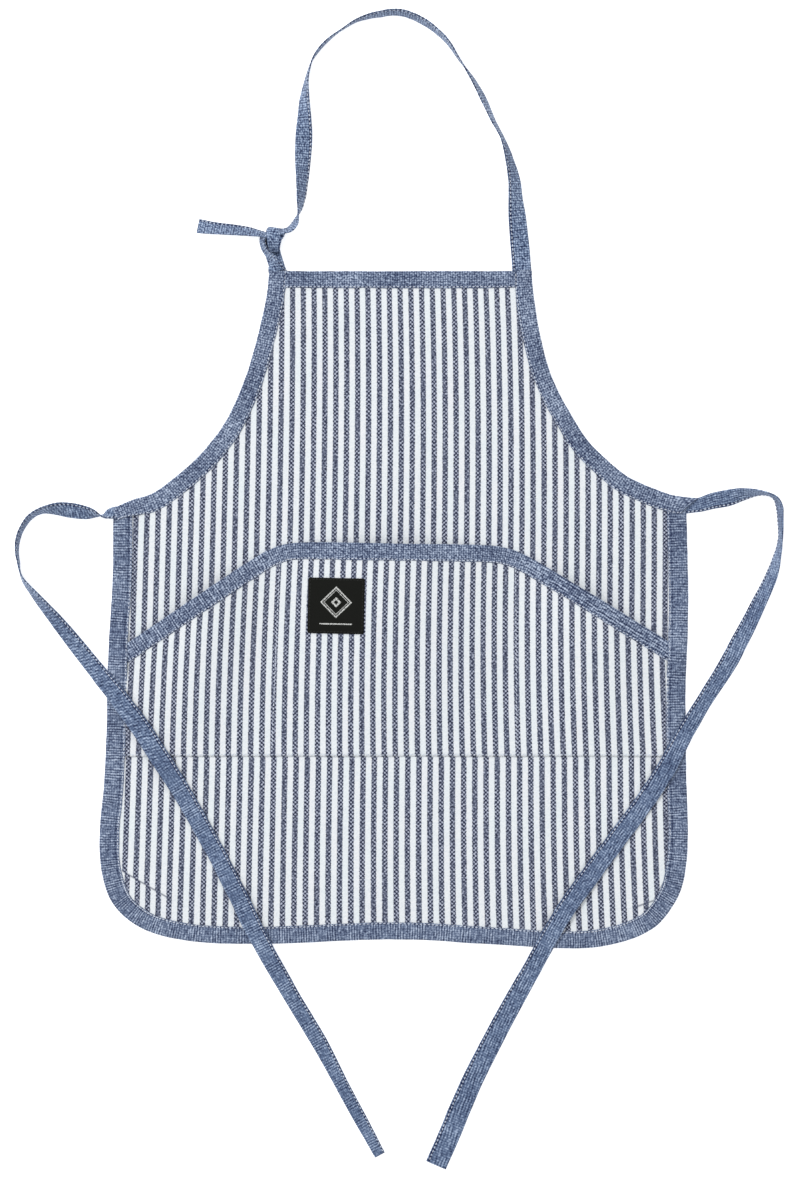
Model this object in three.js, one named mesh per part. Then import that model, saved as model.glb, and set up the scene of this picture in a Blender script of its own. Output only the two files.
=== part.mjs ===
// A child's bib apron, laid flat with its front up.
//
// The front is one panel of striped cotton. Its edges are bound with folded cotton tape: a band across the
// bib, a curved tape round each armhole and one tape down the sides and along the hem. The armhole tapes run
// on past the cloth, as the neck strap at the bib and as the ties at the waist. One wide patch pocket, sewn
// into three compartments, lies on the front with a woven label on it.
//
// Millimetres. +X is the viewer's right, +Y runs from the hem up to the neck, and +Z is up from the surface
// that the apron lies on. The origin is on that surface, below the middle of the apron with its neck strap.

import * as THREE from 'three';
import { mergeVertices } from 'three/addons/utils/BufferGeometryUtils.js';

// --- Cloth and tape -------------------------------------------------------------------------------------

const TAPE_WIDTH = 12; // a folded bias tape, seen from the front
const TAPE_THICKNESS = 1.4; // the same tape sewn shut on itself, as in the ties
const CLOTH = 0.4; // one layer of striped cotton
const LEAF = 0.6; // one side of a binding, which is two layers of thin cotton
const ROOM = 0.3; // air between neighbours
const FOLD = 1; // solid part of a binding at its outer edge
const EDGE_INSET = 1.5; // a cloth edge stops this far inside its binding's outer edge
const THREAD_WIDTH = 0.6;
const THREAD_THICKNESS = 0.3;
const SEAM = 10.8; // a seam's distance from its binding's outer edge
const TIE_SEAM = TAPE_WIDTH / 2 - 1.3; // the same seam, from the middle of a tie

const FRONT_LEVEL = LEAF + ROOM; // underside of the front panel
const BINDING_THICKNESS = 2 * LEAF + CLOTH + 2 * ROOM;

// --- The front ------------------------------------------------------------------------------------------

const BIB_TOP = 146; // top edge of the bib band
const NECK_FOLD = 146.5; // line across the bib's top edge on which the neck loop folds over
const BAND_LEFT = -75.5;
const BAND_RIGHT = 85;

// Outer edges, anticlockwise round the front, so that the cloth is on the left-hand side.
const LEFT_ARMHOLE = [
  [-88, NECK_FOLD - ROOM / 2],
  [-88, 143.5],
  [-90, 125.5],
  [-96.5, 97.5],
  [-105, 69],
  [-117.5, 41],
  [-127.5, 26.5],
  [-140, 12.5],
  [-157, -2],
  [-170, -11],
  [-182, -15],
  [-193.5, -19.5],
  [-198.5, -22],
];
const SIDES_AND_HEM = [
  [-198, -30.5],
  [-198.5, -72],
  [-201, -114],
  [-203, -185],
  [-204.5, -220],
  [-207.5, -249],
  [-206, -278],
  [-197, -300],
  [-180, -316],
  [-153, -325.5],
  [-99.5, -329],
  [0, -325],
  [60, -328],
  [115, -331.8],
  [147, -330.8],
  [174, -323],
  [194, -307.5],
  [205, -282],
  [208, -255],
  [206.5, -200],
  [206.2, -120],
  [206.8, -26.5],
];
const RIGHT_ARMHOLE = [
  [207.5, -14.5],
  [201, -13.2],
  [187.5, -9],
  [174, -3.5],
  [165, 1],
  [151, 12.5],
  [137, 26.5],
  [127.5, 41],
  [112.5, 69],
  [104, 97.5],
  [99, 125.5],
  [97.6, 143.5],
  [97.6, NECK_FOLD - ROOM / 2],
];
const LEFT_CORNER_WIDTH = 8; // the left armhole tape is pinched where it leaves the cloth

// --- The pocket -----------------------------------------------------------------------------------------

const POCKET_BASE = -196.5;
const POCKET_LEFT = [-190.3, -188]; // x at the base and at the mouth
const POCKET_RIGHT = 194;
const LEFT_DIVIDER = [-86, -80]; // x at the base and at the mouth
const RIGHT_DIVIDER = [87, 86];
const BULGE = 9; // how far the mouth of each compartment stands open
const MOUTH_LEVEL = 2.3; // underside of the pocket cloth at a closed mouth
const BASE_LEVEL = FRONT_LEVEL + CLOTH + ROOM;

const LABEL_WIDTH = 39;
const LABEL_HEIGHT = 38.5;
const LABEL_THICKNESS = 0.5;
const LABEL_CENTRE = [-39.7, -91.2];
const LABEL_TILT = -1.2; // degrees
const LABEL_CELLS = 6;

// --- Neck loop and ties ---------------------------------------------------------------------------------
// Stations along the middle of each tape: [x, y, turn, base]. turn is the tape's turn about its own length in
// degrees, 0 when it lies flat and 90 when it stands on edge, and base is how high its lower edge lies.

const NECK_STRAP = [
  [91.6, NECK_FOLD + ROOM / 2, 0, 0.4],
  [91.6, 149.5, 0, 0.4],
  [89.9, 168, 0, 0],
  [87.5, 183.5, 8, 0],
  [85.4, 196.5, 35, 0],
  [83, 210.5, 45, 0],
  [79.5, 224.5, 62, 0],
  [76, 238.6, 76, 0],
  [69.8, 252.7, 76, 0],
  [63.8, 266.9, 74, 0],
  [56.1, 281, 80, 0],
  [46.5, 295.1, 90, 0],
  [36.6, 309.2, 102, 0],
  [21, 322.2, 110, 0],
  [4.5, 328.1, 117, 0],
  [-11, 327.9, 117, 0],
  [-25.1, 322.6, 114, 0],
  [-37.8, 315.6, 108, 0],
  [-46.7, 308.5, 103, 0],
  [-53.5, 300.8, 97, 0],
  [-58, 293.7, 90, 0],
  [-61.5, 281, 78, 0],
  [-63.3, 266.9, 56, 0],
  [-63.3, 252.7, 30, 0],
  [-63.6, 238.6, 0, 0],
  [-64.1, 224.5, -25, 0],
  [-64.7, 210.4, -45, 0],
  [-65.6, 196.3, -65, 0],
  [-66.9, 186.5, -85, 0],
  [-69.4, 180, -105, 0],
  [-74, 175.2, -112, 0],
];
const NECK_TAB = [
  [-82.2, NECK_FOLD + ROOM / 2, 0, 0.4],
  [-82.2, 149.5, 0, 0.3],
  [-82.6, 158, 0, 0],
];
const STRAP_TAIL = [
  [-93.8, 171.6, 70, 0],
  [-101.4, 173.2, 58, 0],
  [-112, 174.4, 48, 0],
  [-124, 176, 38, 0],
  [-137, 177.8, 25, 0],
];
const KNOT_CENTRE = [-82.9, 168];
const KNOT_RADII = [8.6, 9, 4.4];

const LEFT_TIE_LOOP = [
  [-199, -25.5, 20, 0.4],
  [-204.5, -26.6, 80, 0],
  [-211.5, -25.4, 123, 0],
  [-218, -24, 142, 0],
  [-227.5, -22.9, 153, 0],
  [-235.5, -22, 141, 0],
  [-242.5, -21.8, 126, 0],
  [-248.5, -23.2, 116, 0],
  [-256.5, -28, 109, 0],
  [-263.6, -37.5, 106, 0],
  [-266, -49, 103, 0],
  [-265.2, -59.5, 98, 0],
  [-261.5, -70, 85, 0],
  [-254, -81.5, 64, 0],
  [-235.5, -104.5, 44, 0],
  [-223, -119.3, 16, 0],
  [-216.2, -127, 0, 0],
];
const LEFT_TIE_END = [
  [-215.8, -127.4, 0, 0],
  [-208.5, -135.5, 0, 1.9],
  [-203.5, -141.2, 0, 3.2],
  [-196, -149.7, 0, 3.3],
  [-182, -166, 0, 3.9],
  [-159.3, -196.3, 0, 3.9],
  [-142.3, -221, 0, 2.4],
  [-119.7, -262.6, 0, 2],
  [-102, -297, 0, 2.6],
  [-95.5, -310, 0, 3.2],
  [-85.5, -334, 0, 3],
  [-79.5, -347, 0, 1.2],
  [-70.3, -367, 0, 0],
  [-53.4, -396.8, 0, 0],
  [-38.2, -425, 0, 0],
  [-23, -453.3, 0, 0],
  [-11, -478.5, 0, 0],
];
const RIGHT_TIE_LOOP = [
  [209.2, -20.4, 0, 0.4],
  [216.3, -18.7, 4, 0],
  [225.5, -16.2, 8, 0],
  [235.4, -13.7, 22, 0],
  [245.3, -11.3, 42, 0],
  [254.7, -10.3, 62, 0],
  [263.2, -11.2, 76, 0],
  [269, -14.3, 72, 0],
  [272.6, -20.5, 64, 0],
  [273.6, -30, 64, 0],
  [273.1, -43.8, 68, 0],
  [270.7, -55.6, 62, 0],
  [266.4, -68, 47, 0],
  [261, -80, 38, 0],
  [251.3, -99.5, 26, 0],
  [243, -115.5, 12, 0],
  [237, -127.9, 0, 0],
];
const RIGHT_TIE_END = [
  [236.8, -128.5, 0, 0],
  [228.7, -143.5, 0, 0],
  [219, -158.5, 0, 2.1],
  [213, -167.5, 0, 3.2],
  [205.7, -178, 0, 3.2],
  [193.7, -196.3, 0, 3.2],
  [186, -208.5, 0, 3],
  [174, -227.3, 0, 2],
  [150.7, -263.3, 0, 2],
  [131.5, -291, 0, 2.6],
  [122, -306, 0, 3.2],
  [104, -337, 0, 3],
  [98, -348, 0, 1.2],
  [87, -366.5, 0, 0],
  [69.8, -396.8, 0, 0],
  [55.7, -425, 0, 0],
  [43.7, -453.3, 0, 0],
  [31, -485.5, 0, 0],
];

// --- Materials ------------------------------------------------------------------------------------------

const TAPE_COLOUR = 0x76829a;
const STRIPED_COLOUR = 0xb6bcc8;
const LABEL_COLOUR = 0x1c1d1b;
const THREAD_COLOUR = 0x5f6f96;

function cloth(color) {
  return new THREE.MeshStandardMaterial({ color, roughness: 0.9, metalness: 0 });
}

// --- Making tapes ---------------------------------------------------------------------------------------

// The line that a tape follows, on the level. place() gives the point at a share of the length, at a
// distance to the left of the line and a height above it, both measured in the turned tape.
class Route {
  constructor(stations, { laidOnEdge = false, endWidth = 1 } = {}) {
    const points = stations.map(([x, y]) => new THREE.Vector3(x, y, 0));
    this.curve = new THREE.CatmullRomCurve3(points, false, 'centripetal');
    this.curve.arcLengthDivisions = 40 * stations.length;
    this.stations = stations;
    this.laidOnEdge = laidOnEdge;
    this.endWidth = endWidth;
  }

  // A station's third or fourth number, between stations.
  value(t, index) {
    const place = t * (this.stations.length - 1);
    const before = Math.min(Math.floor(place), this.stations.length - 2);
    const [a, b] = [this.stations[before][index] ?? 0, this.stations[before + 1][index] ?? 0];
    return THREE.MathUtils.lerp(a, b, place - before);
  }

  place(along, across, height) {
    const t = this.curve.getUtoTmapping(along);
    const point = this.curve.getPoint(t);
    const heading = this.curve.getTangent(t);
    const turn = THREE.MathUtils.degToRad(this.value(t, 2));
    const [sin, cos] = [Math.sin(turn), Math.cos(turn)];
    const narrowing = THREE.MathUtils.lerp(1, this.endWidth, THREE.MathUtils.smoothstep(along, 0.85, 1));
    const reach = across * narrowing;
    const aside = reach * cos - height * sin;
    const halfHeight = (TAPE_WIDTH / 2) * Math.abs(sin) + (TAPE_THICKNESS / 2) * Math.abs(cos);
    const level = this.value(t, 3) + (this.laidOnEdge ? halfHeight : 0);
    const z = level + reach * sin + height * cos;
    return new THREE.Vector3(point.x - heading.y * aside, point.y + heading.x * aside, z);
  }
}

// Only positions are kept, so that the corners of neighbouring faces are the same vertices.
function closed(geometry) {
  geometry.deleteAttribute('normal');
  geometry.deleteAttribute('uv');
  const solid = mergeVertices(geometry);
  solid.computeVertexNormals();
  return solid;
}

function moved(geometry, move) {
  const position = geometry.attributes.position;
  for (let i = 0; i < position.count; i++) {
    const at = move(new THREE.Vector3().fromBufferAttribute(position, i));
    position.setXYZ(i, at.x, at.y, at.z);
  }
  geometry.computeVertexNormals();
  return geometry;
}

function outline(points) {
  return new THREE.Shape(points.map(([x, y]) => new THREE.Vector2(x, y)));
}

function rectangle(left, bottom, width, height) {
  return outline([
    [left, bottom],
    [left + width, bottom],
    [left + width, bottom + height],
    [left, bottom + height],
  ]);
}

// Extrudes a section and bends it along a route: its x is across the tape and its y is the height.
function sweep(section, route, steps) {
  const straight = new THREE.ExtrudeGeometry(section, { depth: 1, steps, bevelEnabled: false });
  return moved(closed(straight), (at) => route.place(at.z, at.x, at.y));
}

// A tape folded over an edge: two leaves joined at the outer edge, with room for the cloth between.
function foldedSection(leaf, room, bottom) {
  const top = 2 * leaf + room;
  return outline([
    [0, bottom],
    [TAPE_WIDTH, bottom],
    [TAPE_WIDTH, bottom + leaf],
    [FOLD, bottom + leaf],
    [FOLD, bottom + leaf + room],
    [TAPE_WIDTH, bottom + leaf + room],
    [TAPE_WIDTH, bottom + top],
    [0, bottom + top],
  ]);
}

const BINDING = foldedSection(LEAF, CLOTH + 2 * ROOM, 0);
const TIE = rectangle(-TAPE_WIDTH / 2, -TAPE_THICKNESS / 2, TAPE_WIDTH, TAPE_THICKNESS);

// A row of stitches, as one thin thread just above its tape.
function threadOn(across, height) {
  return rectangle(across - THREAD_WIDTH / 2, height + ROOM, THREAD_WIDTH, THREAD_THICKNESS);
}

const BINDING_THREAD = threadOn(SEAM, BINDING_THICKNESS);

// --- Making the pocket ----------------------------------------------------------------------------------

// The mouth is three straight edges with soft corners between them.
function mouthHeight(x) {
  const left = POCKET_MOUTH_LEFT + LEFT_SLOPE * (x - POCKET_LEFT[1]);
  const right = POCKET_MOUTH_RIGHT + RIGHT_SLOPE * (POCKET_RIGHT - x);
  const middle = MOUTH_TOP - MOUTH_FALL * x;
  const sum = [left, middle, right].reduce((total, y) => total + Math.exp(-y * CORNER_SHARPNESS), 0);
  return -Math.log(sum) / CORNER_SHARPNESS;
}
const POCKET_MOUTH_LEFT = -116.5;
const POCKET_MOUTH_RIGHT = -115.5;
const LEFT_SLOPE = 0.669;
const RIGHT_SLOPE = 0.615;
const MOUTH_TOP = -46.3;
const MOUTH_FALL = 0.016;
const CORNER_SHARPNESS = 0.24;

// How far up the pocket a point is, from 0 at the base to 1 at the mouth.
function rise(x, y) {
  return THREE.MathUtils.clamp((y - POCKET_BASE) / (mouthHeight(x) - POCKET_BASE), 0, 1);
}

// Each compartment bulges between its seams, most of all at its mouth.
function pocketLevel(x, y) {
  const up = rise(x, y);
  const seams = [
    THREE.MathUtils.lerp(...POCKET_LEFT, up),
    THREE.MathUtils.lerp(...LEFT_DIVIDER, up),
    THREE.MathUtils.lerp(...RIGHT_DIVIDER, up),
    POCKET_RIGHT,
  ];
  const next = THREE.MathUtils.clamp(seams.findIndex((seam) => x < seam), 1, 3);
  const share = THREE.MathUtils.clamp((x - seams[next - 1]) / (seams[next] - seams[next - 1]), 0, 1);
  const bulge = BULGE * Math.sin(Math.PI * share) ** 2 * Math.sin((Math.PI / 2) * up);
  return THREE.MathUtils.lerp(BASE_LEVEL, MOUTH_LEVEL, up) + bulge;
}

// Lays a flat solid on the pocket, whose cloth is level with z = 0 in it.
function onPocket(geometry) {
  return moved(geometry, (at) => at.setZ(at.z + pocketLevel(at.x, at.y)));
}

// --- The pieces -----------------------------------------------------------------------------------------

const apron = new THREE.Group();

function add(name, geometry, color) {
  const mesh = new THREE.Mesh(geometry, cloth(color));
  mesh.name = name;
  apron.add(mesh);
}

// The panel's edge runs inside the bindings, so its outline is theirs, set in.
function addFrontPanel() {
  const edges = [
    [new Route(LEFT_ARMHOLE), 26, 0, 0.97],
    [new Route(SIDES_AND_HEM), 64, 0, 1],
    [new Route(RIGHT_ARMHOLE), 26, 0.02, 1],
  ];
  const points = [];
  for (const [route, steps, from, to] of edges) {
    for (let i = 0; i <= steps; i++) {
      const at = route.place(THREE.MathUtils.lerp(from, to, i / steps), EDGE_INSET, 0);
      points.push([at.x, Math.min(at.y, BIB_TOP - EDGE_INSET)]);
    }
  }
  const panel = new THREE.ExtrudeGeometry(outline(points), { depth: CLOTH, bevelEnabled: false });
  panel.translate(0, 0, FRONT_LEVEL);
  add('front_panel', closed(panel), STRIPED_COLOUR);
}

function addBindings() {
  const band = new Route([
    [BAND_RIGHT, BIB_TOP],
    [BAND_LEFT, BIB_TOP],
  ]);
  const leftArmhole = new Route(LEFT_ARMHOLE, { endWidth: LEFT_CORNER_WIDTH / TAPE_WIDTH });
  const rightArmhole = new Route(RIGHT_ARMHOLE);
  const sidesAndHem = new Route(SIDES_AND_HEM);
  add('bib_band', sweep(BINDING, band, 12), TAPE_COLOUR);
  add('left_armhole_binding', sweep(BINDING, leftArmhole, 26), TAPE_COLOUR);
  add('right_armhole_binding', sweep(BINDING, rightArmhole, 26), TAPE_COLOUR);
  add('side_and_hem_binding', sweep(BINDING, sidesAndHem, 64), TAPE_COLOUR);
  add('bib_band_stitching', sweep(BINDING_THREAD, band, 12), THREAD_COLOUR);
  add('left_armhole_stitching', sweep(BINDING_THREAD, leftArmhole, 26), THREAD_COLOUR);
  add('right_armhole_stitching', sweep(BINDING_THREAD, rightArmhole, 26), THREAD_COLOUR);
  add('side_and_hem_stitching', sweep(BINDING_THREAD, sidesAndHem, 64), THREAD_COLOUR);
}

function addPocketPanel() {
  const flat = closed(new THREE.BoxGeometry(1, 1, CLOTH, 48, 8, 1));
  const panel = moved(flat, (at) => {
    const up = at.y + 0.5;
    const x = THREE.MathUtils.lerp(THREE.MathUtils.lerp(...POCKET_LEFT, up), POCKET_RIGHT, at.x + 0.5);
    const y = THREE.MathUtils.lerp(POCKET_BASE, mouthHeight(x) - EDGE_INSET, up);
    return at.set(x, y, at.z + CLOTH / 2);
  });
  add('pocket_panel', onPocket(panel), STRIPED_COLOUR);
}

function mouthRoute() {
  const stations = [];
  const spans = 32;
  for (let i = 0; i <= spans; i++) {
    const x = THREE.MathUtils.lerp(POCKET_RIGHT, POCKET_LEFT[1], i / spans);
    stations.push([x, mouthHeight(x)]);
  }
  return new Route(stations);
}

function addPocketBinding() {
  const route = mouthRoute();
  const leaf = 0.4;
  const section = foldedSection(leaf, CLOTH + 2 * ROOM, -leaf - ROOM);
  const thread = threadOn(SEAM, CLOTH + ROOM + leaf);
  add('pocket_binding', onPocket(sweep(section, route, 64)), TAPE_COLOUR);
  add('pocket_binding_stitching', onPocket(sweep(thread, route, 64)), THREAD_COLOUR);
}

function addPocketSeams() {
  const section = threadOn(0, CLOTH);
  const baseSeam = [
    [POCKET_RIGHT - 1, POCKET_BASE + 1.2],
    [POCKET_LEFT[0] + 1, POCKET_BASE + 1.2],
  ];
  add('pocket_base_stitching', onPocket(sweep(section, new Route(baseSeam), 24)), THREAD_COLOUR);
  const dividers = { left_divider_stitching: LEFT_DIVIDER, right_divider_stitching: RIGHT_DIVIDER };
  for (const [name, [xAtBase, xAtMouth]] of Object.entries(dividers)) {
    const top = mouthHeight(xAtMouth) - TAPE_WIDTH - 2;
    const seam = new Route([
      [THREE.MathUtils.lerp(xAtBase, xAtMouth, rise(xAtMouth, top)), top],
      [xAtBase, POCKET_BASE + 3],
    ]);
    add(name, onPocket(sweep(section, seam, 10)), THREAD_COLOUR);
  }
}

function ontoLabel(geometry, height) {
  geometry.rotateZ(THREE.MathUtils.degToRad(LABEL_TILT));
  geometry.translate(...LABEL_CENTRE, height);
  return onPocket(geometry);
}

// The points of a square with its sides cut into cells, so that it can follow the pocket's bulge.
function squareOutline(width, height) {
  const points = [];
  const corners = [
    [-1, -1],
    [1, -1],
    [1, 1],
    [-1, 1],
  ];
  corners.forEach(([x, y], i) => {
    const [nextX, nextY] = corners[(i + 1) % corners.length];
    for (let k = 0; k < LABEL_CELLS; k++) {
      const share = k / LABEL_CELLS;
      const across = THREE.MathUtils.lerp(x, nextX, share);
      const up = THREE.MathUtils.lerp(y, nextY, share);
      points.push(new THREE.Vector2((across * width) / 2, (up * height) / 2));
    }
  });
  return points;
}

function addLabel() {
  const size = [LABEL_WIDTH, LABEL_HEIGHT, LABEL_THICKNESS];
  const patch = closed(new THREE.BoxGeometry(...size, LABEL_CELLS, LABEL_CELLS, 1));
  add('label', ontoLabel(patch, CLOTH + ROOM + LABEL_THICKNESS / 2), LABEL_COLOUR);
  const outside = 2;
  const inside = outside + 2 * THREAD_WIDTH;
  const frame = new THREE.Shape(squareOutline(LABEL_WIDTH - outside, LABEL_HEIGHT - outside));
  frame.holes.push(new THREE.Path(squareOutline(LABEL_WIDTH - inside, LABEL_HEIGHT - inside)));
  const thread = closed(new THREE.ExtrudeGeometry(frame, { depth: THREAD_THICKNESS, bevelEnabled: false }));
  add('label_stitching', ontoLabel(thread, CLOTH + 2 * ROOM + LABEL_THICKNESS), LABEL_COLOUR);
}

function addTape(name, stations, steps) {
  const route = new Route(stations, { laidOnEdge: true });
  add(name, sweep(TIE, route, steps), TAPE_COLOUR);
  return route;
}

function addNeckLoop() {
  const strap = addTape('neck_strap', NECK_STRAP, 64);
  addTape('neck_tab', NECK_TAB, 4);
  addTape('strap_tail', STRAP_TAIL, 10);
  const seam = threadOn(TIE_SEAM, TAPE_THICKNESS / 2);
  add('neck_strap_stitching', sweep(seam, strap, 64), THREAD_COLOUR);
  const knot = closed(new THREE.SphereGeometry(1, 16, 10));
  knot.scale(...KNOT_RADII);
  knot.translate(...KNOT_CENTRE, KNOT_RADII[2]);
  add('strap_knot', knot, TAPE_COLOUR);
}

// Each tie is one tape, in two pieces: the loop beside the apron, and the free end that can be lifted.
function addTies() {
  addTape('left_tie_loop', LEFT_TIE_LOOP, 42);
  addTape('right_tie_loop', RIGHT_TIE_LOOP, 42);
  const left = addTape('left_tie_end', LEFT_TIE_END, 40);
  const right = addTape('right_tie_end', RIGHT_TIE_END, 40);
  const leftSeam = threadOn(TIE_SEAM, TAPE_THICKNESS / 2);
  const rightSeam = threadOn(-TIE_SEAM, TAPE_THICKNESS / 2);
  add('left_tie_stitching', sweep(leftSeam, left, 40), THREAD_COLOUR);
  add('right_tie_stitching', sweep(rightSeam, right, 40), THREAD_COLOUR);
}

addFrontPanel();
addBindings();
addPocketPanel();
addPocketBinding();
addPocketSeams();
addLabel();
addNeckLoop();
addTies();

export default apron;
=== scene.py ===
# %% [markdown]
# # A child's bib apron, laid flat
#
# Striped cotton, bound all round with folded blue chambray tape. The tapes round the armholes run on as a
# neck loop with a knot in it and as two waist ties, and a wide pocket in three parts lies on the front.
#
# This lesson makes the soft pieces of the apron in Blender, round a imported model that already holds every
# size, joint and collision shape. Everything is in metres: +X is the viewer's right, +Y runs from the hem up
# to the neck, and +Z is up from the surface that the apron lies on.

import math

import bpy
import numpy as np
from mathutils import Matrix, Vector


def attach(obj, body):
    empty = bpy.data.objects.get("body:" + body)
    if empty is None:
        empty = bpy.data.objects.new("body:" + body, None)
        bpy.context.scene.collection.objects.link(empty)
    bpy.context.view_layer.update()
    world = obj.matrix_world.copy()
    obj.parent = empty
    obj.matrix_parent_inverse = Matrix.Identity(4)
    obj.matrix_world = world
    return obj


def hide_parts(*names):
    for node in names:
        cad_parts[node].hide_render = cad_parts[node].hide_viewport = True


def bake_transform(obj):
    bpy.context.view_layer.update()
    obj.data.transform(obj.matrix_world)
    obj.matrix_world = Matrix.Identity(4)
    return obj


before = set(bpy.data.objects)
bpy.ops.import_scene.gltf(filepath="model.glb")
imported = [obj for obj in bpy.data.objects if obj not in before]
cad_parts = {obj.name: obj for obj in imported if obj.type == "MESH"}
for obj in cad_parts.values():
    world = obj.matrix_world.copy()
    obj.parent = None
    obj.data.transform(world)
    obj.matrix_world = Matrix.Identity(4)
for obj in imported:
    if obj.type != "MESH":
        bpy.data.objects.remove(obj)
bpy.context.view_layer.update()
bpy.ops.object.select_all(action="DESELECT")
MM = 0.001

# %% [markdown]
# ## Camera, floor and light
#
# The apron is seen from straight above, from far enough away that the picture is almost a plan of it. The
# floor is a plain white sheet, a hair below the cloth so that the two never fight for the same height. It
# glows a little, because dark shadows on it would hide the thin tapes that lie there.
#
# A white surround gives most of the light, as in a light tent. One broad lamp up to the left gives the tapes
# and stitches a soft shaded side, and without it the weave would look printed on.

# %% Camera
CAMERA_CENTRE = (0.0017, -0.0861)
VIEW_HEIGHT = 0.8472
LENS = 100
SENSOR = 36

camera = bpy.data.objects.new("camera", bpy.data.cameras.new("camera"))
bpy.context.scene.collection.objects.link(camera)
camera.data.lens = LENS
camera.data.sensor_width = SENSOR
camera.location = (*CAMERA_CENTRE, VIEW_HEIGHT * LENS / SENSOR)
bpy.context.scene.camera = camera
print("camera", round(camera.location.z, 3), "m above the floor")

# %% Floor and light
FLOOR_SIZE = 8.0
FLOOR_LEVEL = -0.0004
FLOOR_GLOW = 0.55
TENT_WHITE = (0.985, 0.993, 1.0, 1)
TENT_LIGHT = 0.78
LAMP_AIM = (0, -0.08, 0)

bpy.ops.mesh.primitive_plane_add(size=FLOOR_SIZE, location=(0, 0, FLOOR_LEVEL))
floor = bpy.context.object
floor.name = "floor"
floor.data.materials.append(bpy.data.materials.new("white_paper"))
floor.data.materials[0].use_nodes = True
floor_shader = floor.data.materials[0].node_tree.nodes["Principled BSDF"]
floor_shader.inputs["Base Color"].default_value = (1, 1, 1, 1)
floor_shader.inputs["Roughness"].default_value = 0.95
floor_shader.inputs["Specular IOR Level"].default_value = 0.1
floor_shader.inputs["Emission Color"].default_value = (1, 1, 1, 1)
floor_shader.inputs["Emission Strength"].default_value = FLOOR_GLOW

world = bpy.data.worlds.new("light_tent")
bpy.context.scene.world = world
world.use_nodes = True
world.node_tree.nodes["Background"].inputs["Color"].default_value = TENT_WHITE
world.node_tree.nodes["Background"].inputs["Strength"].default_value = TENT_LIGHT


def add_lamp(name, place, size, power):
    lamp = bpy.data.objects.new(name, bpy.data.lights.new(name, "AREA"))
    lamp.data.size = size
    lamp.data.energy = power
    lamp.location = place
    aim = Vector(LAMP_AIM) - Vector(place)
    lamp.rotation_euler = aim.to_track_quat("-Z", "Y").to_euler()
    bpy.context.scene.collection.objects.link(lamp)


add_lamp("window_light", (-2.6, 2.2, 3.6), 1.6, 120)
bpy.context.scene.view_settings.view_transform = "Standard"
print("light tent and one lamp")

# %% [markdown]
# ## Lines that tapes follow
#
# Every tape on the apron follows a line on the table. A route takes a few stations along that line and joins
# them with a smooth curve, the centripetal Catmull-Rom curve, which passes through each station and never
# loops between two of them. A station is x, y, turn, base and width: turn is how far the tape is turned about
# its own length, 0 when it lies flat and 90 on edge, base is how high its lower edge lies, and width is a
# share of the tape's full width, since limp tape is gathered in some places and spread in others.

# %% Route
TAPE_WIDTH = 0.012
TAPE_THICKNESS = 0.0012
TURN_REACH = 0.004
LEVEL_REACH = 0.003
TAPE_STEP = 0.0009


class Route:
    """A smooth line through stations of x, y, turn in degrees, base and width."""

    SAMPLES = 24
    FLAT = [0.0, 0.0, 1.0]

    def __init__(self, stations):
        rows = np.array([list(s) + self.FLAT[len(s) - 2 :] for s in stations], float)
        points = rows[:, :2]
        ghosts = [2 * points[0] - points[1], 2 * points[-1] - points[-2]]
        knots = np.vstack([ghosts[0], points, ghosts[1]])
        share = np.arange(self.SAMPLES)[:, None] / self.SAMPLES
        spans = [self.span(knots[k : k + 4], share) for k in range(len(points) - 1)]
        self.xy = np.vstack(spans + [points[-1:]])
        steps = np.linalg.norm(np.diff(self.xy, axis=0), axis=1)
        self.distance = np.concatenate([[0], np.cumsum(steps)])
        self.length = self.distance[-1]
        place = np.arange(len(self.xy)) / self.SAMPLES
        numbers = np.arange(len(rows))
        self.turn = np.radians(np.interp(place, numbers, rows[:, 2]))
        self.base = np.interp(place, numbers, rows[:, 3])
        self.width = np.interp(place, numbers, rows[:, 4])

    @staticmethod
    def span(four, share):
        a, b, c, d = four
        before, during, after = (math.sqrt(np.linalg.norm(q - p)) for p, q in ((a, b), (b, c), (c, d)))
        leave = ((b - a) / before - (c - a) / (before + during) + (c - b) / during) * during
        arrive = ((c - b) / during - (d - b) / (during + after) + (d - c) / after) * during
        cube, square = share**3, share**2
        return (
            b * (2 * cube - 3 * square + 1)
            + leave * (cube - 2 * square + share)
            + c * (3 * square - 2 * cube)
            + arrive * (cube - square)
        )

    def read(self, values, at):
        return np.interp(at, self.distance, values)

    def smooth(self, values, at, reach):
        """The mean of values over a stretch of the line, so that a twist has no corners in it."""
        offsets = np.linspace(-reach, reach, 9)
        return np.mean([self.read(values, at + offset) for offset in offsets], axis=0)

    def ground(self, at):
        """Points on the table and unit headings at distances along the line."""
        points = np.stack([self.read(self.xy[:, 0], at), self.read(self.xy[:, 1], at)], 1)
        nudge = 0.0008
        ahead = np.stack([self.read(self.xy[:, k], np.minimum(at + nudge, self.length)) for k in (0, 1)], 1)
        behind = np.stack([self.read(self.xy[:, k], np.maximum(at - nudge, 0)) for k in (0, 1)], 1)
        heading = ahead - behind
        return points, heading / np.linalg.norm(heading, axis=1)[:, None]


def turned_frames(points, heading, turn, level):
    """Centres with the directions across a tape and out of its face, from its turn about its own length."""
    sin, cos = np.sin(turn)[:, None], np.cos(turn)[:, None]
    left = np.stack([-heading[:, 1], heading[:, 0], np.zeros(len(heading))], 1)
    up = np.array([[0.0, 0.0, 1.0]])
    centres = np.column_stack([points, level])
    return centres, left * cos + up * sin, -left * sin + up * cos


def width_along(route, at):
    """The share of the full width that the tape has at distances along its route."""
    return route.smooth(route.width, at, LEVEL_REACH)


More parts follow.
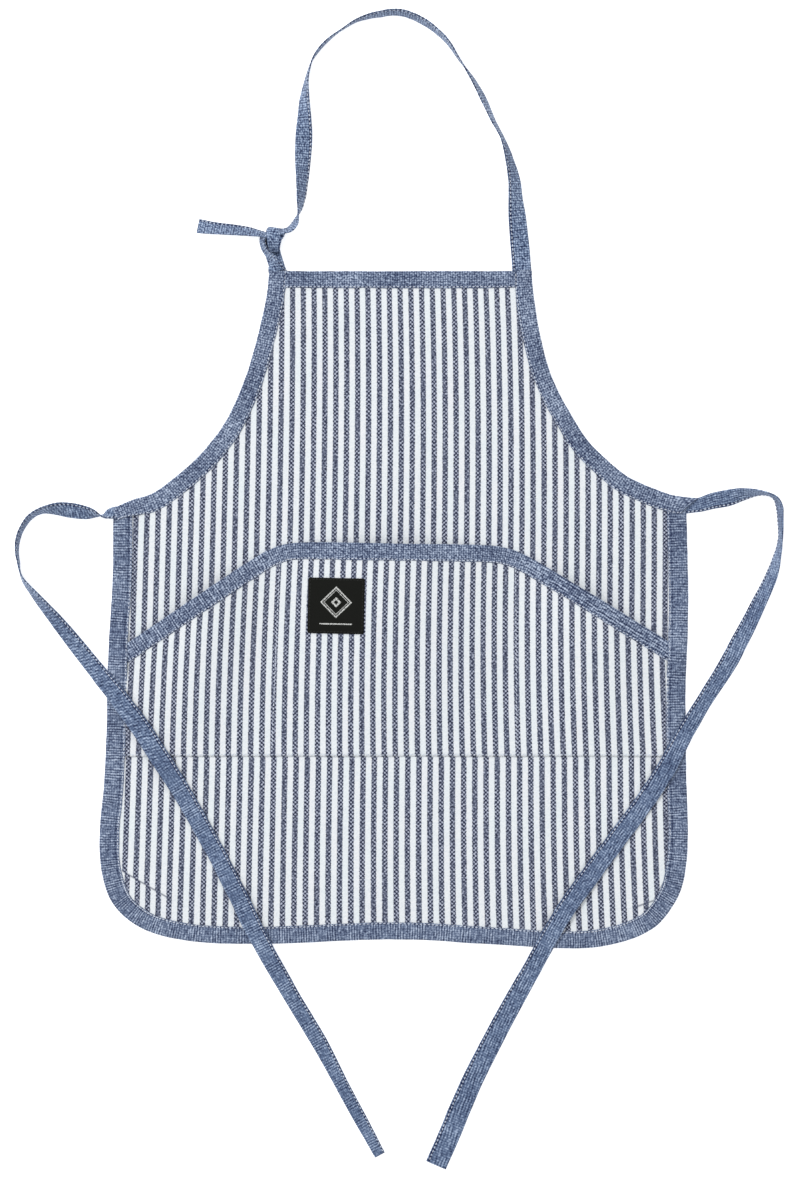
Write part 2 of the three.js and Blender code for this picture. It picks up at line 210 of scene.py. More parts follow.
def tape_frames(route, at):
    """Frames of a tape that rests on its lower edge, so that turning it lifts its middle."""
    points, heading = route.ground(at)
    turn = route.smooth(route.turn, at, TURN_REACH)
    half_width = TAPE_WIDTH / 2 * width_along(route, at)
    lift = half_width * np.abs(np.sin(turn)) + TAPE_THICKNESS / 2 * np.abs(np.cos(turn))
    return turned_frames(points, heading, turn, route.smooth(route.base, at, LEVEL_REACH) + lift)


def steps_along(route, step, start=0.0):
    return np.linspace(start, route.length, max(2, round((route.length - start) / step) + 1))


print("tape", TAPE_WIDTH, "m wide")

# %% [markdown]
# ## Lofted tape
#
# A folded tape is one closed section drawn along its route, so every tape can come from the same helper. A
# curve object with a bevel could sweep a section too, but sewn tape is never even: the stitches pull small
# puckers into it. Here the section has its own set of heights at every step, which a bevel can't have.
#
# Each face also gets a place in a map named tape, in metres along and across. The weave is drawn in that
# map, so it follows the tape round its curves and twists.

# %% Loft
def add_mesh(name, vertices, faces, maps=None):
    mesh = bpy.data.meshes.new(name)
    mesh.from_pydata(vertices.tolist() if hasattr(vertices, "tolist") else vertices, [], faces)
    for map_name, corners in (maps or {}).items():
        layer = mesh.uv_layers.new(name=map_name)
        layer.data.foreach_set("uv", np.asarray(corners, np.float32).ravel())
    mesh.polygons.foreach_set("use_smooth", [True] * len(mesh.polygons))
    mesh.update()
    piece = bpy.data.objects.new(name, mesh)
    bpy.context.scene.collection.objects.link(piece)
    return piece


def loft(name, frames, along, sections, crosswise=None):
    """A closed tube of quads: sections is steps by points by (across, height), counter-clockwise.

    crosswise is where each point lies across the tape before it is gathered or spread, for the map.
    """
    crosswise = sections[:, :, 0] if crosswise is None else crosswise
    centres, across, out = frames
    steps, points = sections.shape[:2]
    place = (
        centres[:, None, :]
        + across[:, None, :] * sections[:, :, :1]
        + out[:, None, :] * sections[:, :, 1:]
    )
    i, j = np.meshgrid(np.arange(steps - 1), np.arange(points), indexing="ij")
    i, j = i.ravel(), j.ravel()
    following = (j + 1) % points
    corners = [(i, j), (i, following), (i + 1, following), (i + 1, j)]
    quads = np.stack([a * points + b for a, b in corners], 1)
    flat = np.stack([np.stack([along[a], crosswise[a, b]], 1) for a, b in corners], 1)
    first, last = list(range(points))[::-1], [(steps - 1) * points + k for k in range(points)]
    caps = [[along[0], crosswise[0, k]] for k in first] + [[along[-1], c] for c in crosswise[-1]]
    uv = np.concatenate([flat.reshape(-1, 2), np.array(caps)])
    faces = quads.tolist() + [first, last]
    return add_mesh(name, place.reshape(-1, 3), faces, {"tape": uv})


print("lofts ready")


# %% [markdown]
# A smooth random line gives the unevenness of hand-guided sewing. It is made from a seed, so the apron is the
# same each time. Waves that are too regular look machined, and plain random numbers look like dirt.

# %% Unevenness
def wander(at, spacing, seed):
    """A smooth line of random heights from -1 to 1, with one every spacing along the way."""
    count = 4096
    heights = np.random.default_rng(seed).uniform(-1, 1, count)
    place = np.abs(at) / spacing + 7
    before = np.floor(place).astype(int)
    share = place - before
    share = share * share * (3 - 2 * share)
    return heights[before % count] * (1 - share) + heights[(before + 1) % count] * share


STITCH = 0.0028
PUCKER_REACH = 0.0022
PUCKER_HEIGHT = 0.00011
LOOSE_HEIGHT = 0.00009


def pucker(at, across, seam, seed):
    """Height of the small ridges that a row of stitches draws up beside itself."""
    near = np.exp(-(((across - seam) / PUCKER_REACH) ** 2))
    pulled = np.cos(2 * math.pi * at / STITCH + 0.8 * wander(at, 0.02, seed))
    loose = wander(at + across * 0.4, 0.0035, seed + 1)
    return near * pulled * PUCKER_HEIGHT + loose * LOOSE_HEIGHT


print("stitches", STITCH, "m apart")

# %% [markdown]
# ## Waist ties
#
# A tie is the armhole tape running on past the cloth, folded in half along its length and sewn shut down its
# open edge. One long edge is a soft fold, and the other is two lips with a seam beside them. Limp tape rolls
# onto its edge wherever it curves, so the turn of each station matters as much as its place.
#
# The route is a given list, since no rule says how a dropped tape falls. Each tie leaves its corner
# of the waist, makes a loop beside the apron, comes back over the front and ends below the hem.

# %% Routes of the ties
LEFT_TIE = [
    (-0.1925, -0.0239, 0, 0.0004, 0.7), (-0.199, -0.0249, 18, 0.0004, 0.72),
    (-0.2045, -0.0266, 80, 0, 0.8), (-0.2115, -0.0254, 123, 0), (-0.2181, -0.0246, 142, 0),
    (-0.2275, -0.0229, 153, 0), (-0.2355, -0.0221, 141, 0), (-0.2425, -0.0223, 118, 0),
    (-0.2485, -0.0233, 106, 0), (-0.2564, -0.0281, 102, 0), (-0.2627, -0.0379, 99, 0),
    (-0.2653, -0.049, 95, 0), (-0.2642, -0.0593, 91, 0), (-0.2619, -0.0701, 80, 0),
    (-0.2538, -0.0813, 64, 0), (-0.2349, -0.104, 33, 0), (-0.223, -0.1193, 16, 0, 0.98),
    (-0.2166, -0.1274, 0, 0, 0.96), (-0.2092, -0.1362, 0, 0.0019), (-0.2046, -0.1421, 0, 0.0032, 1.03),
    (-0.1974, -0.1509, 0, 0.0033, 1.07), (-0.1843, -0.1678, 0, 0.0039, 1.15),
    (-0.1634, -0.1992, 0, 0.0039, 1.15), (-0.1479, -0.2243, 0, 0.0024, 1.09),
    (-0.1248, -0.2653, 0, 0.002, 1.06), (-0.1073, -0.2997, 0, 0.0026, 1.1),
    (-0.1012, -0.3125, 0, 0.0032, 1.1), (-0.0891, -0.3355, 0, 0.003, 1.03),
    (-0.0819, -0.3481, 0, 0.0012, 1.02), (-0.0711, -0.3674, 0, 0, 0.95), (-0.0534, -0.3968, 0, 0, 0.95),
    (-0.0383, -0.425, 0, 0, 0.81), (-0.023, -0.4533, 0, 0, 0.77), (-0.0096, -0.4778, 0, 0, 0.65),
]
RIGHT_TIE = [
    (0.2035, -0.0208, 0, 0.0004, 0.8), (0.2092, -0.0199, 0, 0.0004, 0.8), (0.2163, -0.0188, 4, 0, 0.84),
    (0.2255, -0.0161, 8, 0, 0.96), (0.2356, -0.0142, 16, 0, 1.02), (0.2454, -0.0117, 42, 0),
    (0.2547, -0.0106, 69, 0), (0.2634, -0.0114, 86, 0), (0.2695, -0.0148, 82, 0),
    (0.2717, -0.0205, 71, 0), (0.2725, -0.03, 78, 0), (0.2723, -0.0438, 83, 0),
    (0.2702, -0.0556, 70, 0), (0.2665, -0.0682, 52, 0), (0.2613, -0.0802, 44, 0),
    (0.252, -0.0998, 28, 0), (0.2437, -0.1158, 12, 0, 1.02), (0.2376, -0.1282, 0, 0, 1.05),
    (0.2283, -0.1433, 0, 0, 0.98), (0.2187, -0.1582, 0, 0.0021, 0.92),
    (0.2128, -0.1674, 0, 0.0032, 0.97), (0.2064, -0.1785, 0, 0.0032, 0.99),
    (0.1961, -0.1978, 0, 0.0032, 1.12), (0.1888, -0.2103, 0, 0.003, 1.14),
    (0.1765, -0.2289, 0, 0.002, 1.13), (0.1511, -0.2636, 0, 0.002, 1.13),
    (0.131, -0.2907, 0, 0.0026, 1.13), (0.1209, -0.3053, 0, 0.0032, 1.08),
    (0.1027, -0.3363, 0, 0.003, 1.06), (0.097, -0.3474, 0, 0.0012, 1.08), (0.0864, -0.3662, 0, 0, 1.14),
    (0.0698, -0.3968, 0, 0, 1.19), (0.0559, -0.4251, 0, 0, 1.23), (0.0436, -0.4533, 0, 0, 1.28),
    (0.03, -0.4851, 0, 0, 1.26),
]
left_route = Route(LEFT_TIE)
right_route = Route(RIGHT_TIE)
print("ties", round(left_route.length, 3), round(right_route.length, 3))

# %% [markdown]
# The section of a sewn-shut tape is drawn once, half by half: the lips with a shallow groove between them,
# the seam pressed in beside them, a slightly full middle and the round fold. Points of a half are across
# and height, in millimetres. Limp tape is gathered narrow in some places and spread in others, so each step
# of the loft is as wide as its stations say, and the seam moves in or out with it.

# %% Section of a sewn tape
TIE_SEAM = TAPE_WIDTH / 2 - 0.0013
UPPER_HALF = [
    (5.55, 0.0), (5.95, 0.16), (6.0, 0.34), (5.7, 0.5), (5.2, 0.48), (4.7, 0.33), (4.2, 0.46),
    (3.2, 0.55), (1.6, 0.59), (0.0, 0.6), (-1.6, 0.59), (-3.2, 0.58), (-4.6, 0.56), (-5.4, 0.5),
    (-5.85, 0.3),
]
FOLD = (-6.0, 0.0)
SWAY = 0.00018


def sewn_section(stitched):
    """Counter-clockwise points, in metres, with the stitched edge on the left (1) or the right (-1)."""
    lower = [(a, -h) for a, h in UPPER_HALF[:0:-1]]
    ring = np.array(UPPER_HALF + [FOLD] + lower) * MM
    if stitched < 0:
        ring = (ring * [-1, 1])[::-1]
    return ring


def puckered(at, stitched, seed):
    """The sewn section at every step, with puckers, and how far each point lies towards the seam."""
    ring = sewn_section(stitched)
    sections = np.repeat(ring[None], len(at), 0)
    across = sections[:, :, 0] * stitched
    face = np.sign(np.round(ring[:, 1], 5))
    sections[:, :, 1] += pucker(at[:, None], across, TIE_SEAM, seed) * face
    return sections, across


def sewn_tape(name, route, stitched, seed, thicker=None):
    at = steps_along(route, TAPE_STEP)
    sections, across = puckered(at, stitched, seed)
    sections[:, :, 0] += SWAY * wander(at, 0.012, seed + 2)[:, None]
    sections[:, :, 0] *= width_along(route, at)[:, None]
    if thicker is not None:
        sections[:, :, 1] = thicker(at, sections[:, :, 1])
    return loft(name, tape_frames(route, at), at, sections, across)


left_tie = sewn_tape("left_waist_tie", left_route, 1, 11)
right_tie = sewn_tape("right_waist_tie", right_route, -1, 12)
print("tie faces", len(left_tie.data.polygons), len(right_tie.data.polygons))

# %% [markdown]
# ## Neck loop
#
# The strap leaves the right-hand corner of the bib, stands on edge for most of its way round, and comes back
# down to the knot on the left. Where it leaves the bib it is the same tape as the armhole binding, so its
# first few millimetres are as thick as that binding and the join can't be seen.

# %% Neck strap
NECK_STRAP = [
    (0.0904, 0.1462, 0, 0.0004, 1.12), (0.0902, 0.1495, 0, 0.0004, 1.12), (0.0889, 0.168, 0, 0, 1.1),
    (0.0874, 0.1835, 8, 0, 1.05), (0.0862, 0.1965, 34, 0, 1.01), (0.085, 0.2107, 44, 0),
    (0.0815, 0.2251, 61, 0), (0.0769, 0.2389, 77, 0), (0.0697, 0.2526, 73, 0), (0.0634, 0.2667, 66, 0),
    (0.0558, 0.2808, 74, 0), (0.0461, 0.2949, 90, 0), (0.0364, 0.3089, 97, 0), (0.0206, 0.3215, 103, 0),
    (0.0045, 0.3276, 102, 0), (-0.0108, 0.3263, 101, 0), (-0.0252, 0.3224, 90, 0),
    (-0.0374, 0.315, 84, 0), (-0.0464, 0.3081, 90, 0), (-0.0534, 0.3006, 90, 0),
    (-0.0576, 0.2936, 86, 0), (-0.0612, 0.2809, 79, 0), (-0.0628, 0.2669, 54, 0),
    (-0.063, 0.2527, 33, 0), (-0.0633, 0.2386, 0, 0), (-0.0639, 0.2245, -25, 0),
    (-0.0643, 0.2104, -47, 0), (-0.0653, 0.1963, -63, 0), (-0.0664, 0.1889, -79, 0),
    (-0.0681, 0.1832, -104, 0.0002), (-0.0698, 0.1785, -120, 0.0008), (-0.0734, 0.1748, -114, 0.0015),
    (-0.081, 0.1728, -110, 0.0015),
]
BINDING_THICKNESS = 0.0022
CROWN_LENGTH = 0.006


def from_binding(at, heights):
    """Thickens the first stretch of a tape to the height of the binding that it carries on from."""
    near = np.clip(1 - at / CROWN_LENGTH, 0, 1)[:, None]
    near = near * near * (3 - 2 * near)
    thick = BINDING_THICKNESS / TAPE_THICKNESS
    return heights * (1 + (thick - 1) * near)


neck_route = Route(NECK_STRAP)
neck_strap = sewn_tape("neck_strap_tape", neck_route, 1, 13, from_binding)
print("neck strap", round(neck_route.length, 3), "m of tape")

# %% [markdown]
# ## The knot
#
# The two tapes are tied in a simple knot just above the bib. It is four visible stretches of the same tape:
# the tab that rises from the bib and rolls over to the left, the strap behind it, the band that wraps over
# the front, and the tail that leaves to the left. Each is a short loft whose line also rises and falls.
#
# A cloth simulation of a knot takes long and seldom pulls up as neatly as a real one, so the stretches are
# laid one by one. A waypoint is x, y, height of the tape's middle, turn, width and cup, in millimetres and
# degrees: cup is how much the two edges curl up.

# %% Knot
KNOT_STEP = 0.0005
KNOT_TAB = [
    (-82.1, 146.1, 1.1, 0, 12.8, 0), (-82.9, 149.5, 3.0, -30, 12, 0), (-84.2, 152.5, 4.6, -54, 10.6, 0),
    (-86.4, 155.5, 4.9, -62, 9.4, 0.2), (-89.0, 158.5, 4.8, -64, 8.8, 0.3),
    (-91.2, 162.0, 4.6, -66, 8.6, 0.4), (-92.3, 166.0, 4.4, -66, 8.2, 0.4),
    (-92.0, 169.5, 4.0, -60, 8, 0.2), (-89.8, 172.8, 3.2, -40, 8, 0),
]
KNOT_BACK = [
    (-82.1, 146.1, 0.9, 0, 12.2, 0), (-82.9, 151.0, 0.8, 0, 11.0, 0), (-84.8, 157.0, 0.8, 0, 11.0, 0),
    (-86.0, 163.0, 1.0, 0, 11.6, 0), (-84.6, 169.0, 1.3, 2, 12.0, 0), (-81.6, 173.4, 1.8, 6, 9.0, 0),
]
KNOT_BAND = [
    (-82.5, 176.0, 1.2, 4, 11.0, 0), (-82.6, 175.6, 4.2, 4, 12.6, -0.3),
    (-82.9, 174.2, 6.5, 5, 13.8, -0.8), (-83.4, 171.4, 7.6, 4, 13.0, -0.9),
    (-84.0, 168.0, 7.4, 2, 10.8, -0.2), (-84.1, 164.4, 6.2, 0, 9.0, 0.9),
    (-84.0, 161.2, 4.6, 0, 7.6, 1.1), (-83.8, 159.0, 2.6, 0, 5.8, 0.6),
]
KNOT_TAIL = [
    (-84.0, 170.6, 4.6, 46, 7, 0), (-90.0, 171.2, 4.8, 52, 6.6, 0), (-95.0, 172.2, 4.6, 50, 7.6, 0),
    (-101.4, 173.3, 4.3, 46, 9.6, 0.2), (-108.0, 174.0, 4.0, 42, 10.2, 0.4),
    (-115.5, 174.7, 3.7, 38, 10.4, 0.5), (-122.0, 175.3, 3.4, 35, 10.4, 0.5),
    (-130.0, 176.3, 2.9, 28, 10.6, 0.3), (-138.0, 177.6, 2.4, 20, 11.2, 0),
]


def knot_tape(name, waypoints, stitched, seed, thicker=None):
    """A short tape whose line rises and falls, with its width and cup changing on the way."""
    rows = np.array(waypoints, float)
    line = Route([(x * MM, y * MM, turn, z * MM) for x, y, z, turn, *_ in waypoints])
    at = steps_along(line, KNOT_STEP)
    points, flat_heading = line.ground(at)
    level = line.smooth(line.base, at, 0.0012)
    path = np.column_stack([points, level])
    tangent = np.gradient(path, axis=0)
    tangent /= np.linalg.norm(tangent, axis=1)[:, None]
    side = np.stack([-flat_heading[:, 1], flat_heading[:, 0], np.zeros(len(at))], 1)
    out = np.cross(tangent, side)
    turn = line.smooth(line.turn, at, 0.002)[:, None]
    side, out = side * np.cos(turn) + out * np.sin(turn), out * np.cos(turn) - side * np.sin(turn)
    share = line.read(np.arange(len(line.xy)) / line.SAMPLES, at)
    width = np.interp(share, np.arange(len(rows)), rows[:, 4] * MM)[:, None]
    cup = np.interp(share, np.arange(len(rows)), rows[:, 5] * MM)[:, None]
    sections, across = puckered(at, stitched, seed)
    sections[:, :, 1] += cup * (across / (TAPE_WIDTH / 2)) ** 2
    sections[:, :, 0] = sections[:, :, 0] * width / TAPE_WIDTH
    if thicker is not None:
        sections[:, :, 1] = thicker(at, sections[:, :, 1])
    return loft(name, (path, side, out), at, sections, across), (path, side, out, at)


knot_tab, tab_frames = knot_tape("knot_tab_tape", KNOT_TAB, -1, 21, from_binding)
knot_back, _ = knot_tape("knot_back_tape", KNOT_BACK, 1, 22)
knot_band, _ = knot_tape("knot_front_wrap", KNOT_BAND, 1, 23)
knot_tail, tail_frames = knot_tape("knot_tail_tape", KNOT_TAIL, -1, 24)
print("knot pieces", knot_tab.name, knot_back.name, knot_band.name, knot_tail.name)

# %% [markdown]
# ## Bindings
#
# Binding tape is folded round the cloth's edge, so its section is a narrow C with the cloth in its slot: a
# round fold outside, an upper leaf and a lower leaf, each with its own raw edge turned under. The routes are
# the outer edges of the apron, anticlockwise, so the cloth is always on the left of the heading.

# %% Routes of the bindings
LEFT_ARMHOLE = [
    (-0.088, 0.14635), (-0.088, 0.1435), (-0.09, 0.1255), (-0.0965, 0.0975), (-0.105, 0.069),
    (-0.1175, 0.041), (-0.1275, 0.0265), (-0.14, 0.0125), (-0.157, -0.002), (-0.17, -0.011),
    (-0.182, -0.015), (-0.1935, -0.0195), (-0.1985, -0.022),
]
SIDES_AND_HEM = [
    (-0.1978, -0.0245), (-0.198, -0.0305), (-0.1985, -0.072), (-0.201, -0.114), (-0.203, -0.185),
    (-0.2045, -0.22), (-0.2072, -0.249), (-0.2058, -0.278), (-0.198, -0.3004), (-0.1808, -0.3161),
    (-0.153, -0.3254), (-0.0995, -0.3288), (0.0, -0.3256), (0.06, -0.3285), (0.115, -0.3319),
    (0.139, -0.3315), (0.157, -0.3284), (0.1735, -0.3229), (0.1864, -0.3152), (0.1967, -0.3027),
    (0.2026, -0.2915), (0.206, -0.2755), (0.2078, -0.2525), (0.2065, -0.21), (0.2061, -0.165),
    (0.2062, -0.145), (0.2074, -0.118), (0.2079, -0.085), (0.207, -0.045), (0.2066, -0.0265),
    (0.2066, -0.0205),
]
RIGHT_ARMHOLE = [
    (0.2075, -0.0145), (0.201, -0.0132), (0.1875, -0.009), (0.174, -0.0035), (0.165, 0.001),
    (0.151, 0.0125), (0.137, 0.0265), (0.1275, 0.041), (0.1125, 0.069), (0.104, 0.0975),
    (0.099, 0.1255), (0.0976, 0.1435), (0.0976, 0.14635),
]
BIB_BAND = [(0.0859, 0.1463), (0.06, 0.146), (-0.05, 0.146), (-0.0762, 0.1462)]
armhole_left = Route(LEFT_ARMHOLE)
armhole_right = Route(RIGHT_ARMHOLE)
sides_and_hem = Route(SIDES_AND_HEM)
bib_band_route = Route(BIB_BAND)
print("sides and hem", round(sides_and_hem.length, 3), "m")

# %% Binding section
SEAM = 0.0111
EDGE_REACH = 0.004
RISE_REACH = 0.006
BINDING_SECTION = np.array([
    (12.0, 1.72), (11.9, 1.9), (11.55, 1.98), (11.1, 1.86), (10.6, 2.0), (9.0, 2.12), (7.0, 2.19),
    (5.0, 2.22), (3.0, 2.2), (1.7, 2.1), (0.75, 1.86), (0.2, 1.5), (0.0, 1.1), (0.2, 0.66), (0.8, 0.24),
    (1.8, 0.05), (4.0, 0.0), (8.0, 0.0), (10.3, 0.04), (10.8, 0.16), (11.3, 0.05), (11.7, 0.06), (12.0, 0.28),
    (11.7, 0.54), (8.0, 0.58), (3.0, 0.58), (1.3, 0.72), (1.05, 1.1), (1.3, 1.48), (3.0, 1.62), (8.0, 1.62),
    (11.7, 1.52),
]) * MM
UPPER_LEAF = BINDING_SECTION[:, 1] > 1.7 * MM
ABOVE_CLOTH = BINDING_SECTION[:, 1] > 1.4 * MM


def binding(name, route, seed, widths, raised=None, drape=None, heights=None):
    """A folded tape along a route.

    widths and raised are functions of how far along the route a point is, from 0 to 1, and of its heading
    or place. heights moves the levels of the section, and drape lays the tape on a surface.
    """
    at = steps_along(route, TAPE_STEP)
    points, heading = route.ground(at)
    ring = BINDING_SECTION.copy()
    if heights is not None:
        ring[:, 1] = np.interp(ring[:, 1], *heights)
    sections = np.repeat(ring[None], len(at), 0)
    across = sections[:, :, 0].copy()
    bump = pucker(at[:, None], across, SEAM, seed)
    sections[:, :, 1] += np.where(UPPER_LEAF, bump, 0)
    outer = np.clip(1 - across / EDGE_REACH, 0, 1)
    wave = 0.00022 * wander(at, 0.03, seed + 2) + 0.0001 * wander(at, 0.006, seed + 3)
    inner = np.clip((across - (TAPE_WIDTH - EDGE_REACH)) / EDGE_REACH, 0, 1)
    lip = 0.00016 * wander(at, 0.004, seed + 4) + 0.0002 * wander(at, 0.022, seed + 5)
    sections[:, :, 0] += outer * wave[:, None] + inner * lip[:, None]
    if raised is not None:
        lifted = raised(at / route.length, points)[:, None] * np.clip(across / RISE_REACH, 0, 1)
        sections[:, :, 1] += np.where(ABOVE_CLOTH, lifted, 0)
    width, outward = widths(at / route.length, heading)
    sections[:, :, 0] = sections[:, :, 0] * width[:, None] - outward[:, None]
    level = np.zeros(len(at))
    frames = turned_frames(points, heading, level, level)
    piece = loft(name, frames, at, sections)
    if drape is not None:
        lift(piece, drape)
    return piece


def lift(piece, level):
    """Raises each point of a piece by the height of the surface below it."""
    count = len(piece.data.vertices)
    places = np.empty(count * 3)
    piece.data.vertices.foreach_get("co", places)
    places = places.reshape(-1, 3)
    places[:, 2] += level(places[:, 0], places[:, 1])
    piece.data.vertices.foreach_set("co", places.ravel())
    piece.data.update()


def smooth_step(low, high, value):
    share = np.clip((value - low) / (high - low), 0, 1)
    return share * share * (3 - 2 * share)


print("binding section of", len(BINDING_SECTION), "points")


# %% [markdown]
# Tape sewn on by hand-guiding is not the same width all the way. It is fullest down the two sides, a little
# fuller than itself round the armholes, and squeezed narrow where the left tie leaves the cloth. Where one
# piece passes under another, the upper leaf rises over it: the armhole tapes lie over the tops of the side
# bindings, and the side bindings lie over the ends of the pocket tape and the edges of the pocket.

# %% Widths and lifts
ARMHOLE_WIDTH = 1.05
LEFT_CORNER = 0.74
TURNED_IN = 0.0002
OVER_BINDING = 0.0011
OVER_POCKET_TAPE = 0.0017
OVER_POCKET = 0.0005


def left_armhole_width(share, heading):
    width = ARMHOLE_WIDTH - (ARMHOLE_WIDTH - LEFT_CORNER) * smooth_step(0.88, 1, share)
    return width, np.full_like(share, TURNED_IN)


def right_armhole_width(share, heading):
    return np.full_like(share, ARMHOLE_WIDTH), np.full_like(share, TURNED_IN)


def side_width(share, heading):
    upright = heading[:, 1] ** 2
    return 1.01 + 0.14 * upright, np.zeros_like(share)


def even_width(share, heading):
    return np.ones_like(share), np.zeros_like(share)


def over_side_left(share, points):
    return OVER_BINDING * smooth_step(0.9, 0.95, share)


def over_side_right(share, points):
    return OVER_BINDING * (1 - smooth_step(0.04, 0.09, share))


def over_pocket(share, points):
    y = points[:, 1]
    tape = smooth_step(-0.143, -0.132, y) * (1 - smooth_step(-0.114, -0.104, y))
    edge = smooth_step(-0.202, -0.197, y) * (1 - smooth_step(-0.128, -0.118, y))
    return OVER_POCKET_TAPE * tape + OVER_POCKET * edge


left_armhole = binding("left_armhole_tape", armhole_left, 31, left_armhole_width, over_side_left)
right_armhole = binding("right_armhole_tape", armhole_right, 32, right_armhole_width, over_side_right)


SLANT_FROM = 0.2075
SLANT_LENGTH = 0.012
SLANT_TOP = -0.0141
SLANT_REACH = 0.0088
SLANT_RISE = 0.0004
SLANT_GATHER = 0.14


def slant_end(piece):
    """Draws the waist end of the right armhole tape out into the slanting fold that opens into the tie."""
    for vertex in piece.data.vertices:
        x, y, _ = vertex.co
        share = np.clip((x - (SLANT_FROM - SLANT_LENGTH)) / SLANT_LENGTH, 0, 1) ** 1.5
        vertex.co.x += share * (SLANT_REACH + (y - SLANT_TOP))
        vertex.co.y += share * (SLANT_RISE - SLANT_GATHER * (y - SLANT_TOP))


slant_end(right_armhole)
side_and_hem = binding("side_and_hem_tape", sides_and_hem, 33, side_width, over_pocket)
bib_band = binding("bib_band_tape", bib_band_route, 34, even_width)

# %% [markdown]
# ## Front panel
#
# The front is one sheet of striped cotton. Its edges run inside the bindings, so its outline is worked out
# from theirs. The sheet is laid as rows of quads from side to side, like the weft of the cloth, and each row
# is as wide as the outline allows. A grid cut by the outline would leave slivers along the curves.
#
# Cloth laid by hand is never quite flat. A few long low waves lift it by less than a millimetre, dying out
# towards the bindings. Small tucks are pressed in at the bottom corners, one at the left and a bent one at
# the right, where the tape was eased round.

# %% Front panel outline
EDGE_INSET = 0.0015
FRONT_LEVEL = 0.0009
CLOTH = 0.0004
FRONT_BOTTOM = -0.3225
FRONT_TOP = 0.1445
CORNER_TOP = -0.285
LEFT_OF = -0.12
RIGHT_OF = 0.13
FINE_ROW = 0.0012
ROW = 0.0024


def inside_line(route, start=0.0):
    at = steps_along(route, 0.001, start)
    points, heading = route.ground(at)
    return points + EDGE_INSET * np.stack([-heading[:, 1], heading[:, 0]], 1)


def edge_at(lines, levels):
    """x of the outline at each level, from lines that together run up or down one side."""
    points = np.vstack(lines)
    order = np.argsort(points[:, 1], kind="stable")
    return np.interp(levels, points[order, 1], points[order, 0])


around = inside_line(sides_and_hem)
left_side = around[around[:, 0] < LEFT_OF]
right_side = around[around[:, 0] > RIGHT_OF]
levels = np.concatenate([
    np.arange(FRONT_BOTTOM, CORNER_TOP, FINE_ROW),
    np.arange(CORNER_TOP, FRONT_TOP, ROW),
    [FRONT_TOP],
])
left_edge = edge_at([left_side, inside_line(armhole_left)], levels)
right_edge = edge_at([right_side, inside_line(armhole_right, 0.004)], levels)
print("front panel rows", len(levels), "widest", round(float((right_edge - left_edge).max()), 3))

# %% Front panel
TUCKS = [
    ((-0.1915, -0.2772), (-0.1577, -0.297), -0.28),
    ((0.1906, -0.2847), (0.1833, -0.2982), 0.06),
    ((0.1833, -0.2982), (0.1687, -0.3034), 0.06),
]
TUCK_HEIGHT = 0.0004
FRONT_COLUMNS = 150
FLAT_EDGE = 0.012
EDGE_FADE = 0.02


def tuck_distance(x, y, tuck):
    """Distance above the line of a tuck, and how present the tuck is, fading at its two ends."""
    (x0, y0), (x1, y1), _ = tuck
    length = math.hypot(x1 - x0, y1 - y0)
    ux, uy = (x1 - x0) / length, (y1 - y0) / length
    along = (x - x0) * ux + (y - y0) * uy
    above = (y - y0) * ux - (x - x0) * uy
    above = above if ux > 0 else -above
    inside = np.clip(np.minimum(along, length - along) / 0.004 + 1, 0, 1)
    return above, inside


def front_waves(x, y):
    slow = np.sin(x / 0.031 + 1.1) * np.sin(y / 0.052 + 0.4) + 0.6 * np.sin(x / 0.017 - y / 0.044 + 2.2)
    fine = np.sin(x / 0.0085 + y / 0.019) * np.sin(y / 0.027 - x / 0.03)
    return 0.00022 * (slow + 1.6) + 0.00007 * fine


def front_surface(x, y, room):
    height = FRONT_LEVEL + front_waves(x, y) * np.clip(room, 0, 1)
    for tuck in TUCKS:
        above, inside = tuck_distance(x, y, tuck)
        fold = np.where(above > 0, np.exp(-above / 0.004), np.exp(above / 0.0015))
        height = height + TUCK_HEIGHT * fold * inside
    return height


share = np.linspace(0, 1, FRONT_COLUMNS + 1)
x = left_edge[:, None] + (right_edge - left_edge)[:, None] * share[None]
y = np.repeat(levels[:, None], len(share), 1)
edge_gap = np.minimum(np.minimum(x - left_edge[:, None], right_edge[:, None] - x), y - FRONT_BOTTOM)
edge_gap = np.minimum(edge_gap, FRONT_TOP - y)
z = front_surface(x, y, (edge_gap - FLAT_EDGE) / EDGE_FADE)


def sheet_mesh(name, x, y, z):
    """One layer of quads, facing up, from three arrays of rows and columns."""
    rows, columns = x.shape
    i, j = np.meshgrid(np.arange(rows - 1), np.arange(columns - 1), indexing="ij")
    first = (i * columns + j).ravel()
    faces = np.stack([first, first + 1, first + columns + 1, first + columns], 1)
    return add_mesh(name, np.stack([x, y, z], 2).reshape(-1, 3), faces.tolist())


def thicken(piece, thickness):
    """Gives a sheet its thickness, upwards from where it was laid."""
    bpy.ops.object.select_all(action="DESELECT")
    piece.select_set(True)
    bpy.context.view_layer.objects.active = piece
    wall = piece.modifiers.new("wall", "SOLIDIFY")
    wall.thickness = thickness
    wall.offset = 1
    bpy.ops.object.modifier_apply(modifier=wall.name)
    piece.select_set(False)


front_cloth = sheet_mesh("front_cloth", x, y, z)
thicken(front_cloth, CLOTH)
print("front panel faces", len(front_cloth.data.polygons))

# %% [markdown]
# ## Pocket
#
# The pocket is a second sheet over the lower front. Its mouth slopes down at both sides, and two rows of
# stitches part it into three. Each part stands open a little, most of all at its mouth, so a hand can find
# it. The mouth's line is a soft minimum of three straight edges, which rounds the corners between them.

